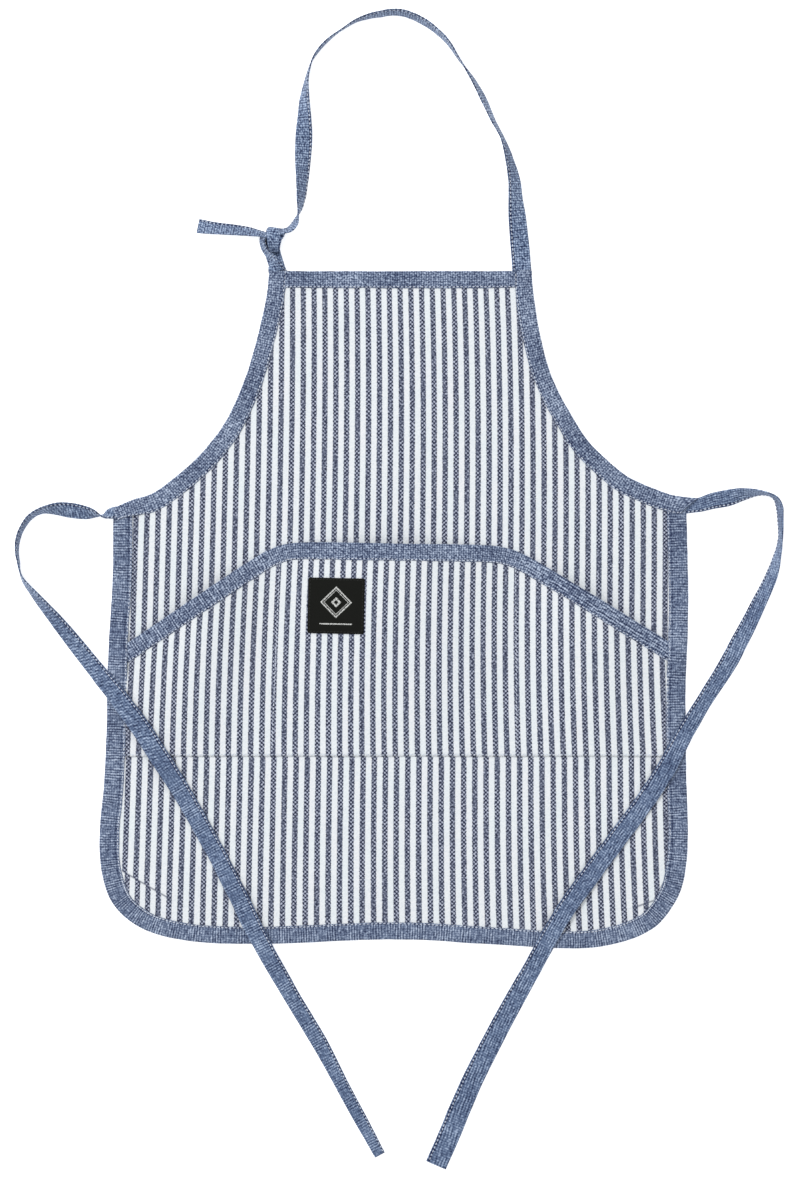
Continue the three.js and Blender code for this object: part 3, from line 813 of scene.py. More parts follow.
# %% Pocket shape
POCKET_BASE = -0.1965
POCKET_LEFT = (-0.1903, -0.188)
POCKET_RIGHT = 0.194
LEFT_DIVIDER = (-0.086, -0.08)
RIGHT_DIVIDER = (0.087, 0.086)
BULGE = 0.006
BASE_LEVEL = 0.0016
MOUTH_LEVEL = 0.0023
CORNER_SHARPNESS = 240


def mouth_height(x):
    """The line of the pocket's mouth: left slope, nearly level middle, right slope."""
    left = -0.1165 + 0.669 * (x - POCKET_LEFT[1])
    middle = -0.0463 - 0.016 * x
    right = -0.1155 + 0.615 * (POCKET_RIGHT - x)
    total = sum(np.exp(-edge * CORNER_SHARPNESS) for edge in (left, middle, right))
    return -np.log(total) / CORNER_SHARPNESS


def between(pair, share):
    return pair[0] + (pair[1] - pair[0]) * share


def rise(x, y):
    return np.clip((y - POCKET_BASE) / (mouth_height(x) - POCKET_BASE), 0, 1)


def pocket_level(x, y):
    """Height of the underside of the pocket cloth."""
    up = rise(x, y)
    ends = [between(POCKET_LEFT, up), between(LEFT_DIVIDER, up), between(RIGHT_DIVIDER, up)]
    ends.append(np.full_like(up, POCKET_RIGHT))
    bulge = np.zeros_like(up)
    for left, right in zip(ends, ends[1:]):
        share = np.clip((x - left) / (right - left), 0, 1)
        bulge = np.maximum(bulge, np.sin(math.pi * share) ** 2)
    return between((BASE_LEVEL, MOUTH_LEVEL), up) + BULGE * bulge * np.sin(math.pi / 2 * up)


print("pocket mouth at", round(float(mouth_height(np.array([0.0]))[0]), 4))

# %% Pocket cloth
HEM_WIDTH = 0.007
HEM_STEP = 0.00035
POCKET_COLUMNS = 168
POCKET_ROWS = 56

share = np.linspace(0, 1, POCKET_COLUMNS + 1)[None]
up = np.linspace(0, 1, POCKET_ROWS + 1)[:, None]
x = between(POCKET_LEFT, up) + (POCKET_RIGHT - between(POCKET_LEFT, up)) * share
y = POCKET_BASE + (mouth_height(x) - EDGE_INSET - POCKET_BASE) * up
turned_under = HEM_STEP / (1 + np.exp((y - POCKET_BASE - HEM_WIDTH) / 0.0004))
z = pocket_level(x, y) + turned_under
pocket_cloth = sheet_mesh("pocket_cloth", x, y, z)
thicken(pocket_cloth, CLOTH)
print("pocket faces", len(pocket_cloth.data.polygons))

# %% Pocket binding
TUCKED_UNDER = 0.006
mouth_x = np.linspace(POCKET_RIGHT + TUCKED_UNDER, POCKET_LEFT[1] - TUCKED_UNDER, 35)
mouth_route = Route(list(zip(mouth_x, mouth_height(mouth_x))))
POCKET_HEIGHTS = ((0, 0.0006, 0.0016, 0.0022), (-0.0007, -0.0003, 0.0007, 0.0011))
pocket_tape = binding(
    "pocket_mouth_tape", mouth_route, 35, even_width, drape=pocket_level, heights=POCKET_HEIGHTS
)
print("pocket tape", round(mouth_route.length, 3), "m")

# %% [markdown]
# ## Stitches
#
# Every seam is a row of lockstitches, each a short thread that dips into the cloth at both ends. One stitch
# is modelled from a small sphere: its ends are drawn apart and flattened, and its faces are put in a fixed
# order, so that every run makes the same mesh. A row is made of copies of it, each a little longer,
# shorter or more slanted than the next, as a domestic machine sews them.

# %% One stitch
HALF_STITCH = 1.05 * MM

bpy.ops.mesh.primitive_uv_sphere_add(segments=8, ring_count=5, radius=1)
pattern = bpy.context.object
bpy.ops.object.mode_set(mode="EDIT")
bpy.ops.mesh.select_all(action="SELECT")
bpy.ops.transform.resize(value=(HALF_STITCH, 0.33 * MM, 0.24 * MM))
bpy.ops.object.mode_set(mode="OBJECT")
stitch_points = np.array([v.co for v in pattern.data.vertices])
stitch_points[:, 2] *= np.clip(1.25 - 0.4 * np.abs(stitch_points[:, 0]) / HALF_STITCH, 0, 1)
stitch_faces = sorted(list(f.vertices) for f in pattern.data.polygons)
bpy.data.objects.remove(pattern)
print("one stitch has", len(stitch_faces), "faces")


def sew(name, places, seed):
    """A row of stitches: places is a list of (centres, along, side, out) for each line of the row."""
    chance = np.random.default_rng(seed)
    centres, along, side, out = (np.concatenate([place[k] for place in places]) for k in range(4))
    count = len(centres)
    slant = chance.normal(0.06, 0.05, count)[:, None]
    along, side = along + side * slant, side - along * slant
    stretch = chance.uniform(0.9, 1.08, count)[:, None, None]
    jitter = chance.normal(0, 0.00007, count)[:, None]
    p = stitch_points[None]
    vertices = (
        (centres + side * jitter)[:, None]
        + along[:, None] * p[:, :, :1] * stretch
        + side[:, None] * p[:, :, 1:2]
        + out[:, None] * p[:, :, 2:]
    ).reshape(-1, 3)
    size = len(stitch_points)
    faces = [[v + k * size for v in face] for k in range(count) for face in stitch_faces]
    return add_mesh(name, vertices, faces)


def seam_on(frames, across, height):
    """Stitches at a distance across a tape and a height out of its face."""
    centres, side, out = frames
    along = np.cross(side, out)
    return centres + side * across + out * height, along, side, out


def stitch_spots(length):
    """Distances of the stitches along a seam of that length."""
    return np.arange(0.0015, length - 0.001, STITCH)


# %% Seams of the ties and the neck strap
SEAM_HEIGHT = 0.00042
KNOT_SEAM_HEIGHT = 0.00046


def tape_seam(name, route, across, seed):
    at = stitch_spots(route.length)
    frames = tape_frames(route, at)
    across = across * width_along(route, at)[:, None]
    faces = [seam_on(frames, across, height) for height in (SEAM_HEIGHT, -SEAM_HEIGHT)]
    return sew(name, faces, seed)


left_tie_seam = tape_seam("left_tie_seam", left_route, TIE_SEAM, 41)
right_tie_seam = tape_seam("right_tie_seam", right_route, -TIE_SEAM, 42)
neck_seam = tape_seam("neck_strap_seam", neck_route, TIE_SEAM, 43)
print("stitches in the left tie", len(left_tie_seam.data.polygons) // len(stitch_faces))


def knot_seam(name, frames, waypoints, across, seed):
    path, side, out, at = frames
    pick = np.searchsorted(at, stitch_spots(at[-1]))
    widths = [w[4] * MM / TAPE_WIDTH for w in waypoints]
    width = np.interp(at[pick], np.linspace(0, at[-1], len(waypoints)), widths)[:, None]
    picked = (path[pick], side[pick], out[pick])
    faces = [seam_on(picked, across * width, h) for h in (KNOT_SEAM_HEIGHT, -KNOT_SEAM_HEIGHT)]
    return sew(name, faces, seed)


tab_seam = knot_seam("knot_tab_seam", tab_frames, KNOT_TAB, -TIE_SEAM, 44)
tail_seam = knot_seam("knot_tail_seam", tail_frames, KNOT_TAIL, -TIE_SEAM, 45)

# %% Seams of the bindings
UPPER_ROW = 0.00196
LOWER_ROW = 0.0002
MOUTH_ROW = 0.00088


def flat_seam(route, across, height, widths=even_width, raised=None, level=None):
    at = stitch_spots(route.length)
    points, heading = route.ground(at)
    share = at / route.length
    lifted = np.zeros(len(at)) if raised is None else raised(share, points)
    frames = turned_frames(points, heading, np.zeros(len(at)), height + lifted)
    width, outward = widths(share, heading)
    centres, along, side, out = seam_on(frames, (across * width - outward)[:, None], 0)
    if level is not None:
        centres[:, 2] += level(centres[:, 0], centres[:, 1])
    return centres, along, side, out


def binding_seam(name, route, seed, widths, raised=None):
    """Both faces of a binding: the upper row rises with the leaf that it is sewn into."""
    upper = flat_seam(route, SEAM, UPPER_ROW, widths, raised)
    lower = flat_seam(route, SEAM, LOWER_ROW, widths)
    return sew(name, [upper, lower], seed)


left_armhole_seam = binding_seam("left_armhole_seam", armhole_left, 51, left_armhole_width, over_side_left)
right_armhole_seam = binding_seam(
    "right_armhole_seam", armhole_right, 52, right_armhole_width, over_side_right
)
slant_end(right_armhole_seam)
side_and_hem_seam = binding_seam("side_and_hem_seam", sides_and_hem, 53, side_width, over_pocket)
bib_band_seam = binding_seam("bib_band_seam", bib_band_route, 54, even_width)
mouth_row = flat_seam(mouth_route, SEAM, MOUTH_ROW, level=pocket_level)
pocket_tape_seam = sew("pocket_mouth_seam", [mouth_row], 55)
print("stitches in the hem", len(side_and_hem_seam.data.polygons) // len(stitch_faces))

# %% Seams of the pocket
SEAM_RISE = 0.0012
CLEAR = 0.001
CLOTH_TOP = CLOTH + 0.00012


def divider(pair):
    """The line of a divider, from just below the pocket's tape down to its base."""
    top = float(mouth_height(np.array([pair[1]]))[0]) - TAPE_WIDTH - CLEAR
    share = (top - POCKET_BASE) / (top + TAPE_WIDTH + CLEAR - POCKET_BASE)
    return Route([(between(pair, share), top), (pair[0], POCKET_BASE + 2 * CLEAR)])


def pocket_seam(name, route, height, seed):
    return sew(name, [flat_seam(route, 0, height, level=pocket_level)], seed)


base_level = POCKET_BASE + SEAM_RISE
base_route = Route([(POCKET_RIGHT - CLEAR, base_level), (POCKET_LEFT[0] + CLEAR, base_level)])
pocket_base_seam = pocket_seam("pocket_base_seam", base_route, CLOTH_TOP + HEM_STEP, 56)
left_divider_seam = pocket_seam("left_divider_seam", divider(LEFT_DIVIDER), CLOTH_TOP, 57)
right_divider_seam = pocket_seam("right_divider_seam", divider(RIGHT_DIVIDER), CLOTH_TOP, 58)
print("seams of the pocket sewn")

# %% [markdown]
# ## Label
#
# A small black woven patch is sewn on the middle part of the pocket. It starts as a flat grid, its corners
# are rounded by pulling them in, it is laid on the bulging cloth, and then it gets a wall.

# %% Label patch
LABEL_SIZE = (0.0398, 0.0392)
LABEL_CENTRE = (-0.0405, -0.0902)
LABEL_TILT = math.radians(-1.2)
LABEL_THICKNESS = 0.0005
LABEL_GAP = 0.00015
LABEL_CORNER = 0.0012


def rounded_square(x, y):
    """Pulls the four corners of a rectangle in to a small radius."""
    over_x = np.abs(x) - (LABEL_SIZE[0] / 2 - LABEL_CORNER)
    over_y = np.abs(y) - (LABEL_SIZE[1] / 2 - LABEL_CORNER)
    reach = np.hypot(np.maximum(over_x, 0), np.maximum(over_y, 0))
    corner = (over_x > 0) & (over_y > 0)
    shrink = np.where(corner, np.minimum(1, LABEL_CORNER / np.maximum(reach, 1e-9)), 1)
    new_x = np.sign(x) * (LABEL_SIZE[0] / 2 - LABEL_CORNER + over_x * shrink)
    new_y = np.sign(y) * (LABEL_SIZE[1] / 2 - LABEL_CORNER + over_y * shrink)
    return np.where(corner, new_x, x), np.where(corner, new_y, y)


def on_pocket(x, y, height):
    """Turns label places to the label's tilt and lays them on the pocket."""
    cos, sin = math.cos(LABEL_TILT), math.sin(LABEL_TILT)
    px = LABEL_CENTRE[0] + x * cos - y * sin
    py = LABEL_CENTRE[1] + x * sin + y * cos
    return np.stack([px, py, pocket_level(px, py) + CLOTH + height], -1)


side_steps = np.linspace(-0.5, 0.5, 37)
gx, gy = np.meshgrid(side_steps * LABEL_SIZE[0], side_steps * LABEL_SIZE[1])
gx, gy = rounded_square(gx, gy)
placed = on_pocket(gx, gy, LABEL_GAP)
label_patch = sheet_mesh("label_patch", placed[..., 0], placed[..., 1], placed[..., 2])
own = label_patch.data.uv_layers.new(name="label")
loops = np.array([loop.vertex_index for loop in label_patch.data.loops])
own.data.foreach_set("uv", np.stack([gx.ravel()[loops], gy.ravel()[loops]], 1).astype(np.float32).ravel())
thicken(label_patch, LABEL_THICKNESS)
print("label faces", len(label_patch.data.polygons))

# %% Label seam
LABEL_SEAM_INSET = 0.0013
LABEL_STITCH = 0.0024


def label_edge(start, end):
    start, end = np.array(start), np.array(end)
    length = np.linalg.norm(end - start)
    spots = np.arange(LABEL_STITCH / 2, length - 0.0008, LABEL_STITCH)[:, None] / length
    flat = start + (end - start) * spots
    ahead = flat + (end - start) / length * 0.0005
    height = LABEL_THICKNESS + 0.0002
    centres = on_pocket(flat[:, 0], flat[:, 1], height)
    along = on_pocket(ahead[:, 0], ahead[:, 1], height) - centres
    along /= np.linalg.norm(along, axis=1)[:, None]
    side = np.cross([0, 0, 1], along)
    side /= np.linalg.norm(side, axis=1)[:, None]
    return centres, along, side, np.cross(along, side)


half_w = LABEL_SIZE[0] / 2 - LABEL_SEAM_INSET
half_h = LABEL_SIZE[1] / 2 - LABEL_SEAM_INSET
label_corners = [(-half_w, -half_h), (half_w, -half_h), (half_w, half_h), (-half_w, half_h)]
label_edges = [label_edge(a, b) for a, b in zip(label_corners, label_corners[1:] + label_corners[:1])]
label_seam = sew("label_seam", label_edges, 59)
print("label sewn on with", len(label_seam.data.polygons) // len(stitch_faces), "stitches")

# %% [markdown]
# ## Writing shader maths
#
# A cloth pattern is arithmetic on places: how far across a stripe a point is, or which of two crossing
# threads lies on top there. Built by hand that is dozens of Math nodes. Here a small class wraps a socket, so
# that ordinary Python arithmetic adds the nodes, and one method adds any other node with its settings.

# %% Shader helpers
class Number:
    """A number that changes over a surface. Arithmetic on it adds Math nodes."""

    def __init__(self, finish, socket):
        self.finish, self.socket = finish, socket

    def maths(self, operation, *others, clamp=False):
        settings = {"operation": operation, "use_clamp": clamp}
        node = self.finish.node("ShaderNodeMath", settings, dict(enumerate([self, *others])))
        return Number(self.finish, node.outputs[0])

    def swapped(self, operation, other):
        node = self.finish.node("ShaderNodeMath", {"operation": operation}, {0: other, 1: self})
        return Number(self.finish, node.outputs[0])

    def __add__(self, other):
        return self.maths("ADD", other)

    def __sub__(self, other):
        return self.maths("SUBTRACT", other)

    def __mul__(self, other):
        return self.maths("MULTIPLY", other)

    def __truediv__(self, other):
        return self.maths("DIVIDE", other)

    def __radd__(self, other):
        return self.swapped("ADD", other)

    def __rsub__(self, other):
        return self.swapped("SUBTRACT", other)

    def __rmul__(self, other):
        return self.swapped("MULTIPLY", other)

    def __neg__(self):
        return self * -1.0

    def __gt__(self, other):
        return self.maths("GREATER_THAN", other)

    def __lt__(self, other):
        return self.maths("LESS_THAN", other)

    def sin(self):
        return self.maths("SINE")

    def cos(self):
        return self.maths("COSINE")

    def exp(self):
        return self.maths("EXPONENT")

    def abs(self):
        return self.maths("ABSOLUTE")

    def limited(self):
        return self.maths("ADD", 0.0, clamp=True)


class Finish:
    """A material with one cloth shader, and the nodes that feed it."""

    def __init__(self, name, roughness, sheen, specular):
        self.material = bpy.data.materials.new(name)
        self.material.use_nodes = True
        self.tree = self.material.node_tree
        self.shader = self.tree.nodes["Principled BSDF"]
        self.shader.inputs["Roughness"].default_value = roughness
        self.shader.inputs["Sheen Weight"].default_value = sheen
        self.shader.inputs["Sheen Roughness"].default_value = 0.6
        self.shader.inputs["Specular IOR Level"].default_value = specular

    def node(self, kind, settings=None, inputs=None):
        node = self.tree.nodes.new(kind)
        for key, value in (settings or {}).items():
            setattr(node, key, value)
        for key, value in (inputs or {}).items():
            self.feed(node.inputs[key], value)
        return node

    def feed(self, socket, value):
        value = value.socket if isinstance(value, Number) else value
        if isinstance(value, bpy.types.NodeSocket):
            self.tree.links.new(value, socket)
        else:
            socket.default_value = value

    def place(self, map_name=None):
        """x, y and z in metres: of the object itself, or along and across in one of the piece's maps."""
        if map_name is None:
            vector = self.node("ShaderNodeTexCoord").outputs["Object"]
        else:
            vector = self.node("ShaderNodeUVMap", {"uv_map": map_name}).outputs["UV"]
        parts = self.node("ShaderNodeSeparateXYZ", inputs={0: vector}).outputs
        return [Number(self, part) for part in parts]

    def noise(self, x, y, detail=2.0):
        """Soft blotches, about one for each unit of x and y, from 0 to 1."""
        vector = self.node("ShaderNodeCombineXYZ", inputs={0: x, 1: y}).outputs[0]
        inputs = {"Vector": vector, "Scale": 1.0, "Detail": detail, "Roughness": 0.5}
        found = self.node("ShaderNodeTexNoise", {"noise_dimensions": "2D"}, inputs)
        return Number(self, found.outputs[0])

    def blend(self, share, first, second):
        """A colour between two colours, each a socket or three plain numbers."""
        colours = [(*c, 1.0) if isinstance(c, tuple) else c for c in (first, second)]
        inputs = {0: share, 6: colours[0], 7: colours[1]}
        mix = self.node("ShaderNodeMix", {"data_type": "RGBA", "clamp_factor": True}, inputs)
        return mix.outputs[2]

    def colour(self, value):
        self.feed(self.shader.inputs["Base Color"], value)

    def rough(self, value):
        self.feed(self.shader.inputs["Roughness"], value)

    def relief(self, height, distance, strength):
        inputs = {"Height": height, "Distance": distance, "Strength": strength}
        self.feed(self.shader.inputs["Normal"], self.node("ShaderNodeBump", inputs=inputs).outputs[0])


def linear(red, green, blue):
    """A colour as the eye sees it, 0 to 255, turned into light."""
    shares = [c / 255 for c in (red, green, blue)]
    return tuple(c / 12.92 if c <= 0.04045 else ((c + 0.055) / 1.055) ** 2.4 for c in shares)


TURN = 2 * math.pi
print("shader helpers ready")

# %% [markdown]
# ## Chambray tape
#
# Chambray is woven with blue threads one way and white threads the other. The tape is cut on the bias, so
# both sets of threads run slantwise, and the pull of folding and sewing gathers them into fine ribs. The ribs
# run across the long bindings and the left tie, along the right tie and the right-hand end of the pocket
# tape, and hardly show on the neck strap.
#
# One function makes the finish, and the direction and depth of the ribs are its inputs. The pattern is drawn
# in the tape's own map, because a pattern in plain x and y would slide across the curves.

# %% Chambray
THREAD_PITCH = 0.0024


def chambray(name, light, middle, dark, ribs, seam, slub=1.0, hole_shade_depth=0.3):
    """ribs lists (from, to, slant, depth, pitch): a stretch of tape with the angle and strength of its ribs.

    seam is where the stitches lie, slub how strong the uneven threads show, the last one how dark the painted
    shade is in the needle holes.
    """
    finish = Finish(name, roughness=0.88, sheen=0.12, specular=0.2)
    along, across, _ = finish.place("tape")
    one = (along + across) * (0.7071 / THREAD_PITCH)
    other = (along - across) * (0.7071 / THREAD_PITCH)
    uneven = finish.noise(along * 220, across * 220) - 0.5
    checks = (one * TURN + uneven * 5.0).sin() * (other * TURN - uneven * 5.0).sin()
    slubs = finish.noise(one * 0.8, other * 2.2, detail=1.0) - 0.5
    cross_slubs = finish.noise(one * 2.2 + 40.0, other * 0.8, detail=1.0) - 0.5
    drift = finish.noise(along * 90, across * 90, detail=1.0)
    ridges = 0.0
    for start, end, slant, depth, pitch in ribs:
        angle = math.radians(slant)
        spread = along * (math.cos(angle) / pitch) + across * (math.sin(angle) / pitch)
        line = across * math.cos(angle) - along * math.sin(angle)
        here = ((along - start) * 40.0).limited() * ((end - along) * 40.0).limited()
        streaks = finish.noise(spread * 1.1, line * 220, detail=1.0) - 0.5
        wave = (spread * TURN + drift * 5.0).sin() * 0.5 + streaks * 2.0
        ridges = ridges + wave * here * depth
    faded = finish.noise(along * 30 + 9.0, across * 30, detail=2.0)
    value = 0.45 + (checks * 0.34 + slubs * 1.0 + cross_slubs * 0.8) * slub
    value = value + ridges + (faded - 0.5) * 0.4
    # Painted shade: a faint dark line along the seam's groove, with darker dots where the needle holes are.
    gap = (across - seam) / 0.0007
    hole_shade = (along * (TURN / STITCH)).cos() * 0.5 + 0.5
    value = (value - (-(gap * gap)).exp() * (hole_shade * hole_shade_depth + 0.05)).limited()
    lower = finish.blend(value * 2.0, dark, middle)
    finish.colour(finish.blend(value * 2.0 - 1.0, lower, light))
    finish.rough(0.82 + value * 0.12)
    finish.relief(checks * 0.4 + ridges * 1.2, 0.0003, 0.7)
    return finish.material


LIGHT_BLUE = linear(186, 199, 220)
MIDDLE_BLUE = linear(100, 114, 141)
DARK_BLUE = linear(28, 40, 74)
BLUES = (LIGHT_BLUE, MIDDLE_BLUE, DARK_BLUE)
TIE_BLUES = (linear(182, 199, 224), linear(94, 112, 143), linear(24, 38, 74))
ALL = (-1.0, 9.0)
POCKET_RIBS = [
    (-1.0, 0.14, 90, 0.42, 0.0023),
    (0.115, 0.3, 45, 0.15, 0.0023),
    (0.29, 9.0, 0, 0.32, 0.0023),
]
LEFT_TIE_RIBS = [(-1.0, 0.29, -25, 0.3, 0.0022), (0.27, 9.0, 0, 0.3, 0.0019)]
HEM_RIBS = [(*ALL, 0, 0.36, 0.0019)]
PLAIN_RIBS = [(*ALL, 45, 0.12, 0.0023)]
STRAP_RIBS = [(*ALL, 0, 0.14, 0.0023)]
RIGHT_TIE_RIBS = [(*ALL, 86, 0.3, 0.0017)]
ribbed_tape = chambray("chambray_ribbed", *BLUES, HEM_RIBS, SEAM, slub=0.65)
plain_tape = chambray("chambray_plain", *BLUES, PLAIN_RIBS, SEAM)
mouth_tape = chambray("chambray_pocket", *BLUES, POCKET_RIBS, SEAM)
strap_tape = chambray("chambray_strap", *TIE_BLUES, STRAP_RIBS, TIE_SEAM, hole_shade_depth=0.8)
left_tie_tape = chambray("chambray_left_tie", *TIE_BLUES, LEFT_TIE_RIBS, TIE_SEAM, 0.6, 0.9)
right_tie_tape = chambray("chambray_right_tie", *TIE_BLUES, RIGHT_TIE_RIBS, TIE_SEAM, 0.6, 0.9)
print("tape finishes:", ribbed_tape.name, plain_tape.name, strap_tape.name)

# %% [markdown]
# ## Striped cotton
#
# The stripes are woven in, blue and white, 7.8 mm from one blue stripe to the next. The cloth has been eased
# and pressed, so the stripes spread a little towards the hem and lean outwards on the pocket: the count of
# stripes at a place is a short polynomial of x and y. Blue stripes have blue threads one way and white the
# other, so they are full of small pale and dark checks, which are strong in some stretches and faint in
# others. White stripes are nearly plain.

# %% Striped cotton
CHECK_PITCH = 0.0028
TUCK_TOP = -0.26
CREASE_SHADE_WIDTH = 0.0011


def striped(name, count, tucks=()):
    """count gives the number of stripes at x and y in units of 100 mm, whole at the middle of a white one.

    Each of tucks takes up a little cloth: it shifts the stripes below its line and has a thin painted shade
    along its fold.
    """
    finish = Finish(name, roughness=0.9, sheen=0.08, specular=0.2)
    x, y, _ = finish.place()
    stripes = count(x * 10.0, y * 10.0)
    crease_shade = 0.0
    for (x0, y0), (x1, y1), shift in tucks:
        above = y - (x - x0) * ((y1 - y0) / (x1 - x0)) - y0
        taken = ((x - x1) * (1 / (x0 - x1))).limited()
        inside = (x - (x0 + x1) / 2).abs() < abs(x0 - x1) / 2
        stripes = stripes + (above < 0.0) * (y < TUCK_TOP) * taken * shift
        # Painted shade along the line of each tuck, where its fold casts shadow.
        crease_shade = crease_shade + (1.0 - above.abs() / CREASE_SHADE_WIDTH).limited() * inside * 0.8
    frayed = finish.noise(x * 300, y * 1400, detail=1.0) - 0.5
    edge = (stripes * TURN + frayed * 0.7).cos()
    white = (edge * 2.6 + 0.52).limited()
    checks = (x * (TURN / CHECK_PITCH)).sin() * (y * (TURN / CHECK_PITCH)).sin()
    strength = (finish.noise(stripes * 1.3, y * 42, detail=1.0) * 3.4 - 1.1).limited()
    grain = finish.noise(x * 600, y * 700, detail=1.0)
    value = (0.42 + checks * (strength * 0.7 + 0.2) + (grain - 0.5) * 1.6).limited()
    blue = finish.blend(value * 2.0, linear(28, 33, 58), linear(93, 100, 121))
    blue = finish.blend(value * 2.0 - 1.0, blue, linear(182, 188, 204))
    tint = finish.noise(stripes * 0.9 + 30.0, y * 22, detail=1.0)
    pale = finish.blend(tint, linear(226, 234, 236), linear(234, 233, 236))
    pale = finish.blend((grain - 0.3) * 1.2, pale, linear(206, 214, 222))
    # The dark blue-grey blended over the stripes here is the painted shade of the tuck folds.
    finish.colour(finish.blend(crease_shade, finish.blend(white, blue, pale), linear(62, 68, 92)))
    finish.relief(grain * 0.6 + checks * 0.4, 0.0002, 0.5)
    return finish.material


def front_count(x, y):
    spacing = y * (y * (y * 0.0181 + 0.051) + 0.1304) + 12.8871
    lean = y * (y * (y * 0.0304 + 0.1007) - 0.1215)
    return x * spacing + lean - 0.1842


def pocket_count(x, y):
    lean = y * (x * 0.305 - x * x * 0.031 - 0.771 - y * 0.247)
    return x * (13.321 - x * 0.0895 - x * x * 0.0252) + lean - 1.222


front_stripes = striped("striped_cotton_front", front_count, TUCKS)
pocket_stripes = striped("striped_cotton_pocket", pocket_count)
print("striped finishes:", front_stripes.name, pocket_stripes.name)

# %% [markdown]
# ## Thread and label
#
# Sewing thread is twisted, so it is a little glossier than the cloth, with fine slanting bands along it. The
# label is black satin weave with a plain pale motif woven in: a small diamond inside the outline of a larger
# one, over a thin bar. It is drawn from distances in the label's own map.

# %% Thread
def thread(name, pale, deep, gloss):
    finish = Finish(name, roughness=0.55, sheen=0.1, specular=gloss)
    x, y, z = finish.place()
    twist = ((x + y * 0.7 + z) * (TURN / 0.0007)).sin() * 0.5 + 0.5
    patchy = finish.noise(x * 120, y * 120, detail=2.0)
    share = twist * 0.35 + patchy * 0.8
    finish.colour(finish.blend(share, deep, pale))
    finish.relief(twist, 0.00008, 0.6)
    return finish.material


blue_thread = thread("blue_sewing_thread", linear(238, 243, 250), linear(150, 164, 192), 0.4)
black_thread = thread("black_sewing_thread", linear(30, 31, 29), linear(10, 11, 10), 0.15)
print("threads:", blue_thread.name, black_thread.name)

# %% Woven label
def woven_label(name):
    finish = Finish(name, roughness=0.8, sheen=0.0, specular=0.1)
    x, y, _ = finish.place("label")
    corner = x.abs() + (y - 0.0025).abs()
    outer = ((corner - 0.0105).abs() < 0.0007) + ((corner - 0.0086).abs() < 0.0003)
    inner = corner < 0.0036
    hole = 1.0 - (corner < 0.0017)
    bar = ((y + 0.0128).abs() < 0.00045) * (x.abs() < 0.0115)
    frayed = finish.noise(x * 1500, y * 1500, detail=1.0)
    motif = (outer + inner * hole + bar).limited() * ((frayed - 0.25) * 3.0).limited()
    satin = (y * (TURN / 0.0006)).sin() * 0.5 + 0.5
    steps = ((x + y * 2.0) * (TURN / 0.0011)).sin() * 0.5 + 0.5
    black = finish.blend(satin * 0.5 + steps * 0.5, linear(11, 12, 10), linear(28, 29, 26))
    finish.colour(finish.blend(motif, black, linear(214, 215, 212)))
    finish.relief(satin * 0.5 + steps * 0.4 + motif * 0.8, 0.00012, 0.6)
    return finish.material


label_satin = woven_label("woven_label_satin")
print("label finish:", label_satin.name)

# %% [markdown]
# ## Joining the pieces to the apron
#
# Each piece takes its finish and stands for the plain solid of the imported model that it was made round.
# Most move with one of the model's bodies. The tapes that cross a fold, the ties and the neck strap with
# the knot's tab and back, are not bent: they stay where they were laid, on no body.

# %% Finishes and stand-ins
def dress(piece, finish, slot, *nodes):
    piece.data.materials.clear()
    piece.data.materials.append(finish)
    if nodes:
        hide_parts(*nodes)


tapes = [
    (left_tie, left_tie_tape, "left_tie_loop", "left_tie_end"),
    (right_tie, right_tie_tape, "right_tie_loop", "right_tie_end"),
    (neck_strap, strap_tape, "neck_strap"),
    (knot_tab, strap_tape, "neck_tab"),
    (knot_back, strap_tape),
    (knot_band, strap_tape, "strap_knot"),
    (knot_tail, strap_tape, "strap_tail"),
    (left_armhole, plain_tape, "left_armhole_binding"),
    (right_armhole, plain_tape, "right_armhole_binding"),
    (bib_band, plain_tape, "bib_band"),
    (side_and_hem, ribbed_tape, "side_and_hem_binding"),
    (pocket_tape, mouth_tape, "pocket_binding"),
]
for piece, finish, *nodes in tapes:
    dress(piece, finish, "cotton_tape", *nodes)
dress(front_cloth, front_stripes, "striped_cotton", "front_panel")
dress(pocket_cloth, pocket_stripes, "striped_cotton", "pocket_panel")
dress(label_patch, label_satin, "woven_label", "label")
dress(label_seam, black_thread, "label_thread", "label_stitching")
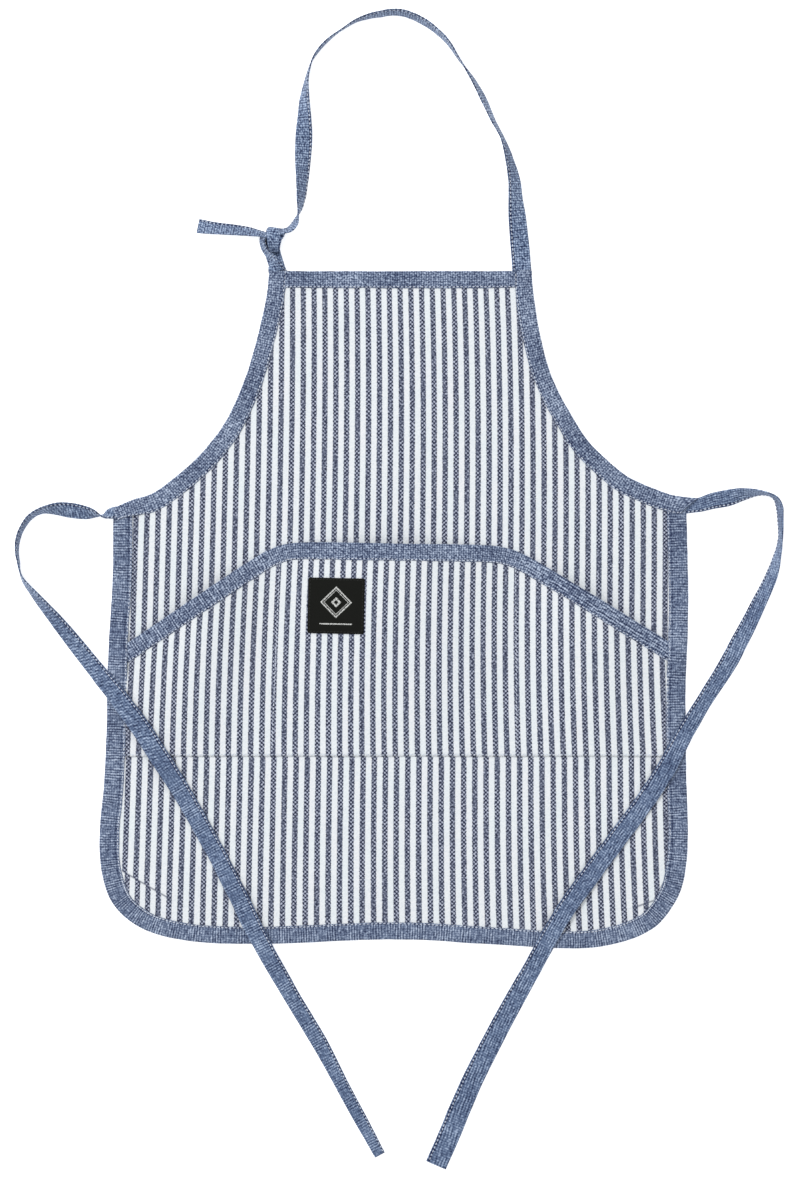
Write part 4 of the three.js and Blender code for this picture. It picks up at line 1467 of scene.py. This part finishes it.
seams = {
    "left_tie_stitching": left_tie_seam,
    "right_tie_stitching": right_tie_seam,
    "neck_strap_stitching": neck_seam,
    "left_armhole_stitching": left_armhole_seam,
    "right_armhole_stitching": right_armhole_seam,
    "side_and_hem_stitching": side_and_hem_seam,
    "bib_band_stitching": bib_band_seam,
    "pocket_binding_stitching": pocket_tape_seam,
    "pocket_base_stitching": pocket_base_seam,
    "left_divider_stitching": left_divider_seam,
    "right_divider_stitching": right_divider_seam,
}
for node, seam in seams.items():
    dress(seam, blue_thread, "sewing_thread", node)
for seam in (tab_seam, tail_seam):
    dress(seam, blue_thread, "sewing_thread")
print("tapes dressed:", len(tapes), "blue seams:", len(seams) + 2)

# %% Bodies and folds
LEFT_FOLD = (-0.2160, -0.1272)
RIGHT_FOLD = (0.2369, -0.1282)

for piece in (
    front_cloth, pocket_cloth, left_armhole, right_armhole, bib_band, side_and_hem, pocket_tape,
    left_armhole_seam, right_armhole_seam, bib_band_seam, side_and_hem_seam, pocket_tape_seam,
    pocket_base_seam, left_divider_seam, right_divider_seam, label_patch, label_seam,
):
    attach(piece, "apron")
for piece in (knot_band, knot_tail, tail_seam):
    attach(piece, "neck_loop")
for piece in (neck_strap, neck_seam, knot_tab, tab_seam, knot_back):
    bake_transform(piece)


def bend_tie(pieces, route, fold):
    """Finds a tie's heading where its moving run begins, and bakes the tie's pieces where they lie, without
    bending them.
    """
    nearest = int(np.argmin(np.linalg.norm(route.xy - np.array(fold), axis=1)))
    heading = route.ground(route.distance[nearest : nearest + 1])[1][0]
    for piece in pieces:
        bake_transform(piece)


bend_tie((left_tie, left_tie_seam), left_route, LEFT_FOLD)
bend_tie((right_tie, right_tie_seam), right_route, RIGHT_FOLD)

# %% [markdown]
# For each free tape the centre line is worked out in steps along its route, and the top of the pocket
# is found.

# %% Soft pieces
PATH_STEP = 0.006


def declare_tape(route):
    path = tape_frames(route, steps_along(route, PATH_STEP))[0].tolist()


declare_tape(left_route)
declare_tape(right_route)
declare_tape(neck_route)

pocket_top = mouth_height(x[-1]) - EDGE_INSET

# %% Selection cleared
bpy.ops.object.select_all(action="DESELECT")
